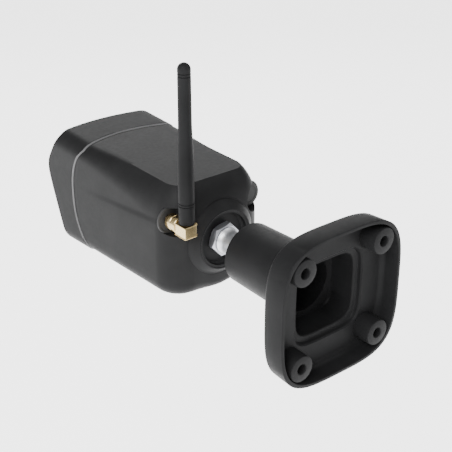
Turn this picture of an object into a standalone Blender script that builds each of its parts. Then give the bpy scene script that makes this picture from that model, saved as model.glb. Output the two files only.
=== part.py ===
"""Outdoor security camera on a ball-joint wall bracket, as an assembly of separate solids.

Frame: the origin is the centre of the bracket's wall face, +Z is up, the lens looks along -Y and the
antenna stands on the +X side. Sizes below are in millimetres, and MM turns them into metres.
"""

from math import acos, cos, hypot, pi, radians, sin, sqrt

import bmesh
import bpy
from mathutils import Matrix, Vector

MM = 0.001
GAP = 0.3  # clearance between pieces that touch on the real object

# --- wall bracket -----------------------------------------------------------------------------
BOSS_SPACING = 58.0  # square pattern of the four wall screws
BOSS_R = 7.8
SCREW_HOLE_R = 3.0
SCREW_HEAD_R = 5.2  # counterbore on the front of the base
SCREW_SEAT_Y = -5.0
BASE_HALF = 44.2
BASE_SQUARENESS = 3.7  # exponent of the base's bulging square outline
BASE_DEPTH = 16.0
BASE_EDGE_R = 2.6
BASE_WALL = 2.2
BASE_FLOOR_Y = -11.0
ROOT_BOX_HALF = 24.0  # square neck between base and stem, hidden behind the base
ROOT_BOX_R = 8.0
ROOT_BOX_Y = -33.0
RECESS_HALF, RECESS_Y = 24.6, -14.0  # square step round the cavity, sunk in the floor of the base
CAVITY_HALF = 21.2
CAVITY_SQUARENESS = 5.0
STEM_ROOT_R = 19.9
STEM_RIM_R = 18.7
STEM_RIM_Y = -78.65
STEM_ROOT_BORE_R = 17.3
STEM_RIM_BORE_R = 16.3
STEM_SHOULDER_Y = -58.0
STEM_SHOULDER_BORE_R = 12.5

# --- ball joint -------------------------------------------------------------------------------
BALL_Y = -72.0
BALL_R = 12.5
NECK_R = 6.5
THREAD_R = 6.0
CABLE_BORE_R = 3.6
STUD_END_Y = -119.0
NUT_ACROSS_FLATS = 18.7
NUT_REAR_Y = -99.0
NUT_FRONT_Y = -104.2
NUT_CORNER = 48.0  # degrees from +X to the nut's first corner
FLARE_R = 8.3  # the neck widens into this face, which the nut draws up to

# --- camera housing ---------------------------------------------------------------------------
REAR_Y = -104.6
PLAN_CORNER_R = 18.0  # rear corners seen from above
SIDE_FRONT, SIDE_REAR = 38.0, 36.8  # half widths
TOP_FRONT, TOP_REAR = 38.3, 37.0
BOTTOM_FRONT, BOTTOM_REAR = -37.0, -35.2
TAPER_FRONT_Y, TAPER_REAR_Y = -210.0, -120.0
TOP_FLAT_HALF = 28.0
SHOULDER_BREAK_REAR = 45.0  # degrees that the shoulder arc turns at the rear, 90 at the front
CHAMFER = 9.5  # rounded lower edges along the sides
REAR_LOWER_R = 6.0  # rounding between the underside and the rear
CREASE_FRONT_Z, CREASE_REAR_Z = 7.5, 15.5
CREASE_STEP = 1.0
HOUSING_WALL = 2.6
PARTING_CORNER_Y = -200.0
PARTING_SIDE_BULGE, PARTING_TOP_BULGE = 12.5, 6.0
COLLAR_R, COLLAR_CREST_R, COLLAR_BORE_R = 24.6, 19.6, 17.1
COLLAR_LIP_Y = -99.9
RECESS_FLOOR_Y = -104.8
STUD_BOSS_R = 11.0
STUD_BOSS_Y = -116.0
PORT_X, PORT_Z = 30.0, 16.5  # antenna pocket on +X, blanked pocket on -X
PORT_R = 9.0
PORT_FLOOR_Y = -117.0
PORT_BOSS_Y = -123.0
JACK_END_Y = -130.0
NUT_ROOM_R = 4.9  # spot face inside, round the jack's nut

# --- front bezel ------------------------------------------------------------------------------
BEZEL_PROUD = 0.6
BEZEL_TOP_RISE = 0.9
NOSE_Y, NOSE_Z = -243.6, 12.0
NOSE_SLOPE = 0.41
VISOR_BOW = 3.2  # the visor's top edge is further back at its corners than in the middle
BEZEL_WALL = 3.0
WINDOW_Y = -222.0
WINDOW_THICK = 3.0

# --- antenna ----------------------------------------------------------------------------------
ANTENNA_Y = -98.8
ELBOW_X, ELBOW_Y, ELBOW_Z = 10.6, 10.4, 7.6
ELBOW_CORNER_CUT = 2.0
COUPLING_R, COUPLING_FRONT_Y = 5.0, -114.6
SLEEVE_BASE_R, SLEEVE_TIP_R = 4.75, 3.8
SLEEVE_TIP_Z = 116.5
JACK_R = 3.2

# --- optics and electronics -------------------------------------------------------------------
LENS_R = 8.0
LENS_FRONT_Y = -216.5
SENSOR_BOARD_Y = -186.0
BOARD_THICK = 1.6
MAIN_BOARD_Y = -166.0
HATCH_Y = -146.0
HATCH_HALF_X, HATCH_HALF_Y = 21.0, 13.0
HATCH_FACE_Z = -35.7
HATCH_SCREW_X = 18.0
CHASSIS_Y = -206.0
LED_BOARD_Y = -213.4
SPEAKER_Y = -186.0
EAR_END_Y = -197.0
EAR_X, EAR_Z = 29.5, 20.0
EARS = [(x, z) for x in (-EAR_X, EAR_X) for z in (-EAR_Z, EAR_Z)]
RIB_X = 31.3  # ribs on the housing's side walls that take the screws of the bezel and the chassis
CHASSIS_SCREW_X = 28.5
IR_CUT_TRAVEL = 6.5

COLOURS = {
    "matte black plastic": ((0.055, 0.056, 0.058), 0.48, 0.0),
    "black powder coat": ((0.05, 0.051, 0.053), 0.5, 0.0),
    "black rubber": ((0.02, 0.02, 0.021), 0.8, 0.0),
    "bright zinc": ((0.75, 0.75, 0.77), 0.2, 1.0),
    "gold plate": ((0.83, 0.66, 0.32), 0.25, 1.0),
    "steel": ((0.5, 0.5, 0.52), 0.35, 1.0),
    "aluminium": ((0.6, 0.61, 0.63), 0.4, 1.0),
    "circuit board": ((0.02, 0.13, 0.06), 0.5, 0.0),
    "chip": ((0.03, 0.03, 0.035), 0.45, 0.0),
    "smoked window": ((0.01, 0.01, 0.012), 0.06, 0.0),
    "lens glass": ((0.05, 0.04, 0.09), 0.03, 0.0),
    "white plastic": ((0.75, 0.75, 0.73), 0.5, 0.0),
    "lamp": ((0.85, 0.83, 0.6), 0.2, 0.0),
}


# --- making objects ---------------------------------------------------------------------------
def clear_scene():
    for obj in list(bpy.data.objects):
        bpy.data.objects.remove(obj, do_unlink=True)


def material(name):
    found = bpy.data.materials.get(name)
    if found:
        return found
    colour, roughness, metallic = COLOURS[name]
    made = bpy.data.materials.new(name)
    made.use_nodes = True
    shader = made.node_tree.nodes["Principled BSDF"]
    shader.inputs["Base Color"].default_value = (*colour, 1.0)
    shader.inputs["Roughness"].default_value = roughness
    shader.inputs["Metallic"].default_value = metallic
    made.diffuse_color = (*colour, 1.0)
    return made


def finish_mesh(name, bm, finish, pivot=(0.0, 0.0, 0.0)):
    """Turn a bmesh in millimetres into a linked object whose origin is the pivot."""
    bmesh.ops.remove_doubles(bm, verts=bm.verts, dist=1e-5)
    bmesh.ops.recalc_face_normals(bm, faces=bm.faces)
    bmesh.ops.translate(bm, verts=bm.verts, vec=-Vector(pivot))
    bmesh.ops.scale(bm, verts=bm.verts, vec=(MM, MM, MM))
    mesh = bpy.data.meshes.new(name)
    bm.to_mesh(mesh)
    bm.free()
    mesh.shade_smooth()
    mesh.set_sharp_from_angle(angle=radians(35))
    obj = bpy.data.objects.new(name, mesh)
    obj.location = Vector(pivot) * MM
    obj.data.materials.append(material(finish))
    bpy.context.scene.collection.objects.link(obj)
    return obj


def loft(name, rings, finish, pivot=(0.0, 0.0, 0.0), hollow=False):
    """One closed body through rings of equal length; its ends are capped or, when hollow, joined."""
    bm = bmesh.new()
    loops = [[bm.verts.new(point) for point in ring] for ring in rings]
    count = len(rings[0])
    for first, second in zip(loops, loops[1:]):
        for i in range(count):
            j = (i + 1) % count
            bm.faces.new((first[i], first[j], second[j], second[i]))
    if hollow:
        for i in range(count):
            j = (i + 1) % count
            bm.faces.new((loops[-1][i], loops[-1][j], loops[0][j], loops[0][i]))
    else:
        bm.faces.new(loops[0])
        bm.faces.new(loops[-1])
    return finish_mesh(name, bm, finish, pivot)


def turned(name, profile, finish, axis="Y", centre=(0.0, 0.0), sides=32, pivot=(0.0, 0.0, 0.0)):
    """Spin a closed profile of (radius, place along the axis) once round the axis through centre."""
    bm = bmesh.new()
    if axis == "Y":
        points = [(centre[0] + r, along, centre[1]) for r, along in profile]
        hub, direction = (centre[0], 0.0, centre[1]), (0.0, 1.0, 0.0)
    elif axis == "Z":
        points = [(centre[0] + r, centre[1], along) for r, along in profile]
        hub, direction = (centre[0], centre[1], 0.0), (0.0, 0.0, 1.0)
    else:
        points = [(along, centre[0] + r, centre[1]) for r, along in profile]
        hub, direction = (0.0, centre[0], centre[1]), (1.0, 0.0, 0.0)
    verts = [bm.verts.new(point) for point in points]
    edges = [bm.edges.new((a, b)) for a, b in zip(verts, verts[1:] + verts[:1])]
    hub, direction = Vector(hub), Vector(direction)
    on_axis = [e for e in edges if all((v.co - hub).cross(direction).length < 1e-6 for v in e.verts)]
    bmesh.ops.delete(bm, geom=on_axis, context="EDGES_FACES")
    geom = [v for v in bm.verts] + [e for e in bm.edges]
    bmesh.ops.spin(bm, geom=geom, cent=hub, axis=direction, angle=2 * pi, steps=sides, use_merge=True)
    bmesh.ops.remove_doubles(bm, verts=bm.verts, dist=1e-4)
    return finish_mesh(name, bm, finish, pivot)


def rounded_rect(half_u, half_v, radius, steps=4):
    """Corner points of a rounded rectangle, anticlockwise in its own plane."""
    points = []
    for quarter, (su, sv) in enumerate(((1, 1), (-1, 1), (-1, -1), (1, -1))):
        cu, cv = su * (half_u - radius), sv * (half_v - radius)
        for step in range(steps + 1):
            turn = (quarter + step / steps) * pi / 2
            points.append((cu + radius * cos(turn), cv + radius * sin(turn)))
    return points


def plate(name, outline, low, high, finish, axis="Y", offset=(0.0, 0.0), edge=0.0, pivot=(0.0, 0.0, 0.0)):
    """Extrude a flat outline along an axis, with an optional chamfer on the high end."""
    ou, ov = offset

    def place(u, v, along, shrink):
        u, v = u * shrink + ou, v * shrink + ov
        return {"Y": (u, along, v), "Z": (u, v, along), "X": (along, u, v)}[axis]

    reach = max(abs(u) for u, _ in outline)
    stations = [(low, 1.0), (high, 1.0)]
    if edge:
        inward = edge if high > low else -edge
        stations = [(low, 1.0), (high - inward, 1.0), (high, 1.0 - edge / reach)]
    rings = [[place(u, v, along, shrink) for u, v in outline] for along, shrink in stations]
    return loft(name, rings, finish, pivot)


def block(name, low, high, finish, bevel=0.0, pivot=(0.0, 0.0, 0.0)):
    """An axis-aligned block between two corners, with bevelled edges."""
    bm = bmesh.new()
    bmesh.ops.create_cube(bm, size=1.0)
    size = [b - a for a, b in zip(low, high)]
    middle = [(a + b) / 2 for a, b in zip(low, high)]
    bmesh.ops.scale(bm, verts=bm.verts, vec=size)
    bmesh.ops.translate(bm, verts=bm.verts, vec=middle)
    if bevel:
        bmesh.ops.bevel(bm, geom=bm.edges[:], offset=bevel, segments=1, affect="EDGES")
    return finish_mesh(name, bm, finish, pivot)


def rod(name, radius, low, high, finish, axis="Y", centre=(0.0, 0.0), sides=24, pivot=(0.0, 0.0, 0.0)):
    """A plain turned rod."""
    profile = [(0.0, low), (radius, low), (radius, high), (0.0, high)]
    return turned(name, profile, finish, axis, centre, sides, pivot)


def tube(name, outer, inner, low, high, finish, axis="Y", centre=(0.0, 0.0), sides=24, pivot=(0.0, 0.0, 0.0)):
    """A plain turned tube."""
    profile = [(inner, low), (outer, low), (outer, high), (inner, high)]
    return turned(name, profile, finish, axis, centre, sides, pivot)


def combine(target, tool, operation):
    """Apply an exact Boolean and remove the tool."""
    modifier = target.modifiers.new(operation.title(), "BOOLEAN")
    modifier.operation = operation
    modifier.solver = "EXACT"
    modifier.object = tool
    depsgraph = bpy.context.evaluated_depsgraph_get()
    mesh = bpy.data.meshes.new_from_object(target.evaluated_get(depsgraph))
    target.modifiers.clear()
    target.data = mesh
    bpy.data.objects.remove(tool, do_unlink=True)


def cut(target, *tools):
    for tool in tools:
        combine(target, tool, "DIFFERENCE")


def join(target, *tools):
    for tool in tools:
        combine(target, tool, "UNION")


def mixed(low, high, amount):
    return low + (high - low) * amount


def ramp(value, start, end):
    """0 at start, 1 at end, held outside."""
    return min(max((value - start) / (end - start), 0.0), 1.0)


# --- wall bracket -----------------------------------------------------------------------------
def bulged_square(half, y, count=32, exponent=BASE_SQUARENESS):
    """A square ring with bulging sides and round corners, as a superellipse."""
    ring = []
    for i in range(count):
        turn = 2 * pi * (i + 0.5) / count
        c, s = cos(turn), sin(turn)
        ring.append((half * abs(c) ** (2 / exponent) * (1 if c > 0 else -1), y,
                     half * abs(s) ** (2 / exponent) * (1 if s > 0 else -1)))
    return ring


def make_bracket_casting():
    """Hollow base, square neck and tubular stem, cast in one piece."""
    edge = BASE_EDGE_R
    arc = [(edge * (1 - cos(a)), edge * (1 - sin(a))) for a in (0.0, pi / 6, pi / 3, pi / 2)]
    outer = [bulged_square(BASE_HALF, 0.0)]
    draft = 0.6
    for inset, back in reversed([(edge - x, edge - z) for z, x in arc]):
        outer.append(bulged_square(BASE_HALF - draft - inset, -BASE_DEPTH + edge - back))
    casting = loft("bracket_casting", outer, "black powder coat")
    cavity = loft("cavity", [bulged_square(BASE_HALF - BASE_WALL, 1.0),
                             bulged_square(BASE_HALF - BASE_WALL - 0.8, BASE_FLOOR_Y + 2.5),
                             bulged_square(BASE_HALF - BASE_WALL - 3.0, BASE_FLOOR_Y)], "steel")
    cut(casting, cavity)

    box = rounded_rect(ROOT_BOX_HALF, ROOT_BOX_HALF, ROOT_BOX_R, 3)
    front = rounded_rect(ROOT_BOX_HALF - 2.5, ROOT_BOX_HALF - 2.5, ROOT_BOX_R - 2.5, 3)
    neck = loft("neck", [[(x, BASE_FLOOR_Y - 1.5, z) for x, z in box],
                         [(x, ROOT_BOX_Y + 2.5, z) for x, z in box],
                         [(x, ROOT_BOX_Y, z) for x, z in front]], "steel")
    stem = turned("stem", [(0.0, ROOT_BOX_Y + 4.0), (STEM_ROOT_R, ROOT_BOX_Y + 4.0),
                           (STEM_RIM_R + 0.15, STEM_RIM_Y + 0.6), (STEM_RIM_R - 0.5, STEM_RIM_Y),
                           (0.0, STEM_RIM_Y)], "steel", sides=32)
    join(casting, neck, stem)

    exponent = CAVITY_SQUARENESS
    recess = loft("recess", [bulged_square(RECESS_HALF + 0.6, BASE_FLOOR_Y + 3.0, exponent=exponent),
                             bulged_square(RECESS_HALF + 0.6, BASE_FLOOR_Y, exponent=exponent),
                             bulged_square(RECESS_HALF, BASE_FLOOR_Y - 0.8, exponent=exponent),
                             bulged_square(RECESS_HALF, RECESS_Y, exponent=exponent)], "steel")
    cavity = loft("cavity", [bulged_square(CAVITY_HALF, RECESS_Y + 2.0, exponent=exponent),
                             bulged_square(CAVITY_HALF - 0.4, ROOT_BOX_Y + 2.4, exponent=exponent)], "steel")
    bore = turned("bore", [(0.0, ROOT_BOX_Y + 4.0), (STEM_ROOT_BORE_R, ROOT_BOX_Y + 4.0),
                           (STEM_RIM_BORE_R + 0.3, STEM_SHOULDER_Y + 3.0),
                           (STEM_SHOULDER_BORE_R, STEM_SHOULDER_Y + 3.0),
                           (STEM_SHOULDER_BORE_R, STEM_SHOULDER_Y), (STEM_RIM_BORE_R, STEM_SHOULDER_Y),
                           (STEM_RIM_BORE_R, STEM_RIM_Y - 2.0), (0.0, STEM_RIM_Y - 2.0)], "steel", sides=32)
    cut(casting, recess, cavity, bore)

    half = BOSS_SPACING / 2
    corners = [(x, z) for x in (-half, half) for z in (-half, half)]
    join(casting, *[rod("boss", BOSS_R, BASE_FLOOR_Y - 2.0, 0.0, "steel", centre=at, sides=20)
                    for at in corners])
    hole = [(0.0, 2.0), (SCREW_HOLE_R, 2.0), (SCREW_HOLE_R, SCREW_SEAT_Y), (SCREW_HEAD_R, SCREW_SEAT_Y),
            (SCREW_HEAD_R, -BASE_DEPTH - 2.0), (0.0, -BASE_DEPTH - 2.0)]
    cut(casting, *[turned("hole", hole, "steel", centre=at, sides=16) for at in corners])


def sphere_arc(radius, start_y, end_y, steps):
    """Profile points of a ball round the joint centre, from start_y to end_y."""
    first, last = acos((start_y - BALL_Y) / radius), acos((end_y - BALL_Y) / radius)
    turns = [mixed(first, last, i / steps) for i in range(steps + 1)]
    return [(radius * sin(t), BALL_Y + radius * cos(t)) for t in turns]


def hexagon(across_flats, corner_cut=0.0, first_corner=30.0):
    """Hexagon with one corner at first_corner degrees; the corners are cut to a circle when asked."""
    corner = across_flats / 2 / cos(pi / 6)
    points = []
    for i in range(6):
        turn = radians(first_corner + 60.0 * i)
        if corner_cut:
            for side in (-1, 1):
                a = turn + side * radians(corner_cut)
                r = across_flats / 2 / cos(pi / 6 - radians(corner_cut))
                points.append((r * cos(a), r * sin(a)))
        else:
            points.append((corner * cos(turn), corner * sin(turn)))
    return points


def make_ball_joint():
    pivot = (0.0, BALL_Y, 0.0)
    inner = BALL_R + 0.25
    seat = [(8.0, STEM_SHOULDER_Y - GAP - 0.5), (STEM_RIM_BORE_R - GAP, STEM_SHOULDER_Y - GAP),
            (STEM_RIM_BORE_R - GAP, BALL_Y + 0.6)]
    seat += sphere_arc(inner, BALL_Y + 0.6, BALL_Y + sqrt(inner ** 2 - 8.0 ** 2), 6)
    turned("ball_seat", seat, "white plastic", sides=24, pivot=pivot)
    ring_face, ring_r = STEM_RIM_Y + 1.0, STEM_RIM_BORE_R - GAP
    ring = sphere_arc(inner, BALL_Y + 0.2, ring_face + 0.8, 3)
    ring += [(ring[-1][0] + 0.8, ring_face), (ring_r, ring_face), (ring_r, BALL_Y + 0.2)]
    turned("clamp_ring", ring, "matte black plastic", sides=24)

    rear_y = BALL_Y + sqrt(BALL_R ** 2 - (CABLE_BORE_R + 1.2) ** 2)
    neck_y = BALL_Y - sqrt(BALL_R ** 2 - NECK_R ** 2)
    stud = [(CABLE_BORE_R, rear_y)] + sphere_arc(BALL_R, rear_y, neck_y, 9)
    stud += [(NECK_R, NUT_REAR_Y + 5.6), (NECK_R + 0.5, NUT_REAR_Y + 2.6), (FLARE_R - 0.4, NUT_REAR_Y + 0.9),
             (FLARE_R, NUT_REAR_Y + GAP), (THREAD_R, NUT_REAR_Y + GAP), (THREAD_R, STUD_END_Y + 0.8),
             (THREAD_R - 0.8, STUD_END_Y), (CABLE_BORE_R, STUD_END_Y)]
    turned("ball_stud", stud, "bright zinc", sides=24, pivot=pivot)

    sections = [(y, hexagon(NUT_ACROSS_FLATS - less, cut_degrees, NUT_CORNER)) for y, less, cut_degrees in
                ((NUT_FRONT_Y, 0.9, 12.0), (NUT_FRONT_Y + 0.5, 0.0, 8.0), (NUT_REAR_Y - 1.3, 0.0, 8.0),
                 (NUT_REAR_Y, 1.2, 14.0))]
    nut = loft("lock_nut", [[(x, y, z) for x, z in shape] for y, shape in sections], "bright zinc", pivot)
    cut(nut, rod("nut_bore", THREAD_R + 0.3, NUT_FRONT_Y - 2.0, NUT_REAR_Y + 2.0, "steel", sides=32))


# --- camera housing ---------------------------------------------------------------------------
def taper(front, rear, y):
    return mixed(front, rear, (y - TAPER_FRONT_Y) / (TAPER_REAR_Y - TAPER_FRONT_Y))


class Section:
    """The housing's outline in the plane at one y; wall shrinks it evenly for the inner surface."""

    def __init__(self, y, wall=0.0, proud=0.0, crease=True):
        grow = proud - wall
        self.y = y
        self.side = taper(SIDE_FRONT, SIDE_REAR, y) + grow
        self.top = taper(TOP_FRONT, TOP_REAR, y) + grow
        self.bottom = taper(BOTTOM_FRONT, BOTTOM_REAR, y) - grow
        self.rear = REAR_Y - wall * 1.3
        self.corner = PLAN_CORNER_R - wall
        turn = radians(mixed(90.0, SHOULDER_BREAK_REAR, ramp(y, -198.0, -128.0)))
        self.flat = TOP_FLAT_HALF - 0.35 * wall
        self.radius = (self.side - self.flat) / (1 - cos(turn))
        self.shoulder_z = self.top - self.radius * sin(turn)
        self.chamfer = CHAMFER - 0.4 * wall
        self.crease_z = mixed(CREASE_FRONT_Z, CREASE_REAR_Z, ramp(y, -206.0, -118.0))
        fade = ramp(y, -205.0, -150.0) * (1 - ramp(y, -118.0, -107.0))
        self.step = CREASE_STEP * fade if crease else 0.0

    def rear_room(self):
        """How far the outline may be inset at this y before the rear wall ends it."""
        return max(self.rear - self.y, 0.0)

    def top_z(self):
        room = self.rear_room()
        if room >= self.side - self.flat:
            return self.top
        return self.shoulder_z + sqrt(max(self.radius ** 2 - (self.radius - room) ** 2, 0.0))

    def bottom_z(self):
        room = self.rear_room()
        if room >= REAR_LOWER_R:
            return self.bottom
        return self.bottom + REAR_LOWER_R - sqrt(max(REAR_LOWER_R ** 2 - (REAR_LOWER_R - room) ** 2, 0.0))

    def inset(self, z):
        if z > self.shoulder_z:
            rise = min(z - self.shoulder_z, self.radius)
            return self.radius - sqrt(self.radius ** 2 - rise ** 2)
        if z < self.bottom + self.chamfer:
            drop = min(self.bottom + self.chamfer - z, self.chamfer)
            return self.chamfer - sqrt(self.chamfer ** 2 - drop ** 2)
        return 0.0

    def reach(self, z, upper):
        """Half width at a height; above the crease the surface is recessed."""
        inset = self.inset(z) + (self.step if upper else 0.0)
        start = self.rear - self.corner
        if self.y <= start:
            return self.side - inset
        radius = max(self.corner - self.inset(z), 0.0)
        swing = sqrt(max(radius ** 2 - (self.y - start) ** 2, 0.0))
        return self.side - self.corner + swing - (self.step if upper else 0.0)

    def half(self):
        """Points from the bottom centre up the +X side to the top centre."""
        low, high = self.bottom_z(), self.top_z()
        chamfer_top = self.bottom + self.chamfer
        levels = [(mixed(low, chamfer_top, amount), False) for amount in (0.0, 0.1, 0.35, 1.0)]
        levels += [(mixed(chamfer_top, self.crease_z - 0.5, amount), False) for amount in (0.4, 1.0)]
        levels += [(mixed(self.crease_z + 0.5, high, a / 6), True) for a in range(7)]
        side = [(self.reach(z, upper), z) for z, upper in levels]
        under = [(side[0][0] * a, low) for a in (0.0, 0.5)]
        over = [(side[-1][0] * a, high) for a in (0.5, 0.0)]
        return under + side + over

    def ring(self, shift=lambda x, z: 0.0):
        points = [(x, self.y + shift(x, z), z) for x, z in self.half()]
        mirror = [(-x, y, z) for x, y, z in reversed(points[1:-1])]
        return points + mirror


def parting_y(x, z):
    """The joint line bows forward in the middle of the top and of each side."""
    bow_side = PARTING_SIDE_BULGE * (1 - min(abs(z - 2.0) / 33.0, 1.0) ** 2.6)
    bow_top = PARTING_TOP_BULGE * (1 - min(abs(x) / 30.0, 1.0) ** 2)
    return PARTING_CORNER_Y - (bow_side if abs(x) > 30.0 else 0.0) - (bow_top if abs(x) <= 30.0 else 0.0)


def front_y(x, z):
    """The bezel's front edge: a blunt nose, swept back below and above it."""
    bow = VISOR_BOW * (x / TOP_FLAT_HALF) ** 2 * ramp(z, 18.0, 36.0)
    return NOSE_Y + hypot(NOSE_SLOPE * (z - NOSE_Z), 2.0) - 2.0 + bow


def edge_ys(edge):
    """The y of a curved front edge for each point round the outline."""
    return [edge(x, z) for x, _, z in Section(-205.0, crease=False).ring()]


def bent_ring(along, plane, **options):
    """The housing's outline on the joint line, moved a fraction of the way back to a plane."""
    base = Section(mixed(-205.0, plane, along), **options).ring()
    return [(x, mixed(start, plane, along), z) for (x, _, z), start in zip(base, edge_ys(parting_y))]


def make_rear_housing():
    plane = -150.0
    outer = [bent_ring(along, plane) for along in (0.0, 0.3, 0.65, 1.0)]
    outer += [Section(y).ring() for y in (-134.0, -124.6, -118.5, -114.2, -110.5, -107.5, -105.6,
                                          REAR_Y - 0.1)]
    inner = [bent_ring(along, plane, wall=HOUSING_WALL, crease=False) for along in (0.0, 0.5, 1.0)]
    inner += [Section(y, wall=HOUSING_WALL, crease=False).ring() for y in (-128.0, -118.0, -112.0, -108.2)]
    shell = loft("rear_housing", list(reversed(outer)) + inner, "matte black plastic")

    solid = [bent_ring(0.3, plane, wall=0.3), Section(plane, wall=0.3).ring()]
    solid += [Section(y, wall=0.3).ring() for y in (-134.0, -125.0, -120.0, -116.0, -113.0, -110.0, -108.0)]
    for side in (1, -1):
        boss = rod("port_boss", PORT_R + 2.2, PORT_BOSS_Y, -104.0, "steel", centre=(side * PORT_X, PORT_Z))
        combine(boss, loft("inside", solid, "steel"), "INTERSECT")
        join(shell, boss)
    collar = turned("collar", [(0.0, STUD_BOSS_Y), (STUD_BOSS_R, STUD_BOSS_Y), (STUD_BOSS_R, REAR_Y - 5.0),
                               (COLLAR_R, REAR_Y - 2.0), (COLLAR_R, REAR_Y - 0.5),
                               (COLLAR_R - 2.2, REAR_Y + 2.0), (COLLAR_CREST_R, COLLAR_LIP_Y - 0.3),
                               (COLLAR_BORE_R, COLLAR_LIP_Y), (0.0, COLLAR_LIP_Y)], "steel", sides=32)
    join(shell, collar)
    for side in (1, -1):
        near, far = side * RIB_X - 5.0, side * RIB_X + 5.0
        join(shell, block("chassis_rib", (near, CHASSIS_Y, -4.0), (far, CHASSIS_Y + 15.4, 4.0), "steel"))
        for z in (EAR_Z, -EAR_Z):
            join(shell, block("bezel_rib", (near, EAR_END_Y + GAP, z - 3.2),
                              (far, EAR_END_Y + 11.0, z + 3.2), "steel"))
    cut(shell, *[rod("port", PORT_R, PORT_FLOOR_Y, -90.0, "steel", centre=(side * PORT_X, PORT_Z), sides=24)
                 for side in (1, -1)])
    cut(shell, rod("recess", COLLAR_BORE_R, RECESS_FLOOR_Y, -90.0, "steel", sides=32),
        rod("stud_bore", THREAD_R + 0.3, -130.0, -90.0, "steel", sides=24),
        turned("jack_bore", [(0.0, -129.0), (NUT_ROOM_R, -129.0), (NUT_ROOM_R, PORT_BOSS_Y + 0.2),
                             (JACK_R + 0.3, PORT_BOSS_Y + 0.2), (JACK_R + 0.3, -90.0), (0.0, -90.0)],
               "steel", centre=(PORT_X, PORT_Z), sides=20))
    cut(shell, *[rod("bezel_thread", 1.2, EAR_END_Y - 2.0, EAR_END_Y + 9.0, "steel", centre=at, sides=12)
                 for at in EARS])
    cut(shell, *[rod("chassis_thread", 1.2, CHASSIS_Y - 2.0, CHASSIS_Y + 11.0, "steel",
                     centre=(side * CHASSIS_SCREW_X, 0.0), sides=12) for side in (1, -1)])
    cut_hatch(shell)
    sound_holes = [(0.0, 0.0)] + [(4.0 * cos(i * pi / 3), 4.0 * sin(i * pi / 3)) for i in range(6)]
    cut(shell, *[rod("sound_hole", 1.0, -45.0, -30.0, "steel", "Z", (dx, SPEAKER_Y + dy), sides=10)
                 for dx, dy in sound_holes])
    return shell


def cut_hatch(shell):
    """Recess, seal groove floor and opening of the service hatch in the underside."""
    flat = rounded_rect(HATCH_HALF_X + GAP, HATCH_HALF_Y + GAP, 3.0 + GAP, 3)
    ledge = rounded_rect(HATCH_HALF_X + 2.5, HATCH_HALF_Y + 2.5, 4.0, 3)
    opening = rounded_rect(HATCH_HALF_X - 5.0, HATCH_HALF_Y - 3.0, 2.0, 3)
    place = (0.0, HATCH_Y)
    join(shell, plate("ledge", ledge, HATCH_FACE_Z + 0.8, HATCH_FACE_Z + 5.0, "steel", "Z", place))
    cut(shell, plate("recess", flat, -60.0, HATCH_FACE_Z + 2.0, "steel", "Z", place),
        plate("opening", opening, -60.0, HATCH_FACE_Z + 12.0, "steel", "Z", place))
    for x in (-1, 1):
        cut(shell, rod("hatch_thread", 1.0, HATCH_FACE_Z, HATCH_FACE_Z + 4.2, "steel", "Z",
                       (x * HATCH_SCREW_X, HATCH_Y), sides=12))


def make_front():
    """Bezel with its visor, the seal behind it and the window in it."""
    def band(amount, wall):
        """Ring between the joint line and the front edge, amount 0 to 1, set in by wall."""
        base = Section(mixed(-205.0, -240.0, amount), wall=wall, proud=BEZEL_PROUD, crease=False).ring()
        lift = [BEZEL_TOP_RISE * amount * ramp(z, 0.0, 38.0) for _, _, z in base]
        return [(x, mixed(start - GAP, end, amount), z + rise)
                for (x, _, z), start, end, rise in zip(base, edge_ys(parting_y), edge_ys(front_y), lift)]

    def level(y, wall):
        return Section(y, wall=wall, proud=BEZEL_PROUD, crease=False).ring()

    seat_y = WINDOW_Y + WINDOW_THICK + 0.3
    outer = [band(amount, wall) for amount, wall in
             ((0.0, 0.6), (0.03, 0.0), (0.5, 0.0), (0.88, 0.0), (0.96, 0.7), (1.0, 2.6))]
    inner = [band(0.985, BEZEL_WALL), level(seat_y - 3.6, BEZEL_WALL + 0.6), level(seat_y, BEZEL_WALL + 0.6),
             level(seat_y, BEZEL_WALL + 3.8), level(seat_y + 2.8, BEZEL_WALL + 3.8),
             level(seat_y + 3.0, BEZEL_WALL), band(0.0, BEZEL_WALL)]
    bezel = loft("front_bezel", outer + inner, "matte black plastic", hollow=True)
    for at in EARS:
        join(bezel, rod("foot", 4.6, seat_y + 0.2, seat_y + 4.0, "steel", centre=at, sides=16))
        join(bezel, rod("ear", 3.0, seat_y + 0.2, EAR_END_Y, "steel", centre=at, sides=16))
    for at in EARS:
        cut(bezel, rod("screw_way", 1.7, seat_y - 1.0, EAR_END_Y + 1.0, "steel", centre=at, sides=12),
            rod("screw_head", 3.1, seat_y - 4.0, seat_y + 2.6, "steel", centre=at, sides=16))

    window_edge = BEZEL_WALL + 0.9
    window = [level(WINDOW_Y, window_edge + 0.5), level(WINDOW_Y + 0.5, window_edge),
              level(WINDOW_Y + WINDOW_THICK, window_edge)]
    loft("front_window", window, "smoked window")

    def seal_ring(shift, wall):
        base = Section(-205.0, wall=wall, crease=False).ring()
        return [(x, start + shift, z) for (x, _, z), start in zip(base, edge_ys(parting_y))]

    seal = [seal_ring(shift, wall) for shift, wall in ((-1.8, 3.1), (1.8, 3.1), (1.8, 4.7), (-1.8, 4.7))]
    loft("housing_seal", seal, "black rubber", hollow=True)
    for number, at in enumerate(EARS, 1):
        make_screw(f"bezel_screw_{number}", at, seat_y + 2.4, EAR_END_Y + 8.0, 2.7, 1.05)


def make_screw(name, at, head_y, tip_y, head_r, shank_r):
    """Pan-head screw driven from the front, its shank along +Y."""
    turned(name, [(0.0, tip_y), (shank_r, tip_y - 0.8), (shank_r, head_y), (head_r, head_y),
                  (head_r, head_y - 1.2), (head_r - 0.8, head_y - 2.0), (0.0, head_y - 2.0)],
           "steel", centre=at, sides=10)


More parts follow.
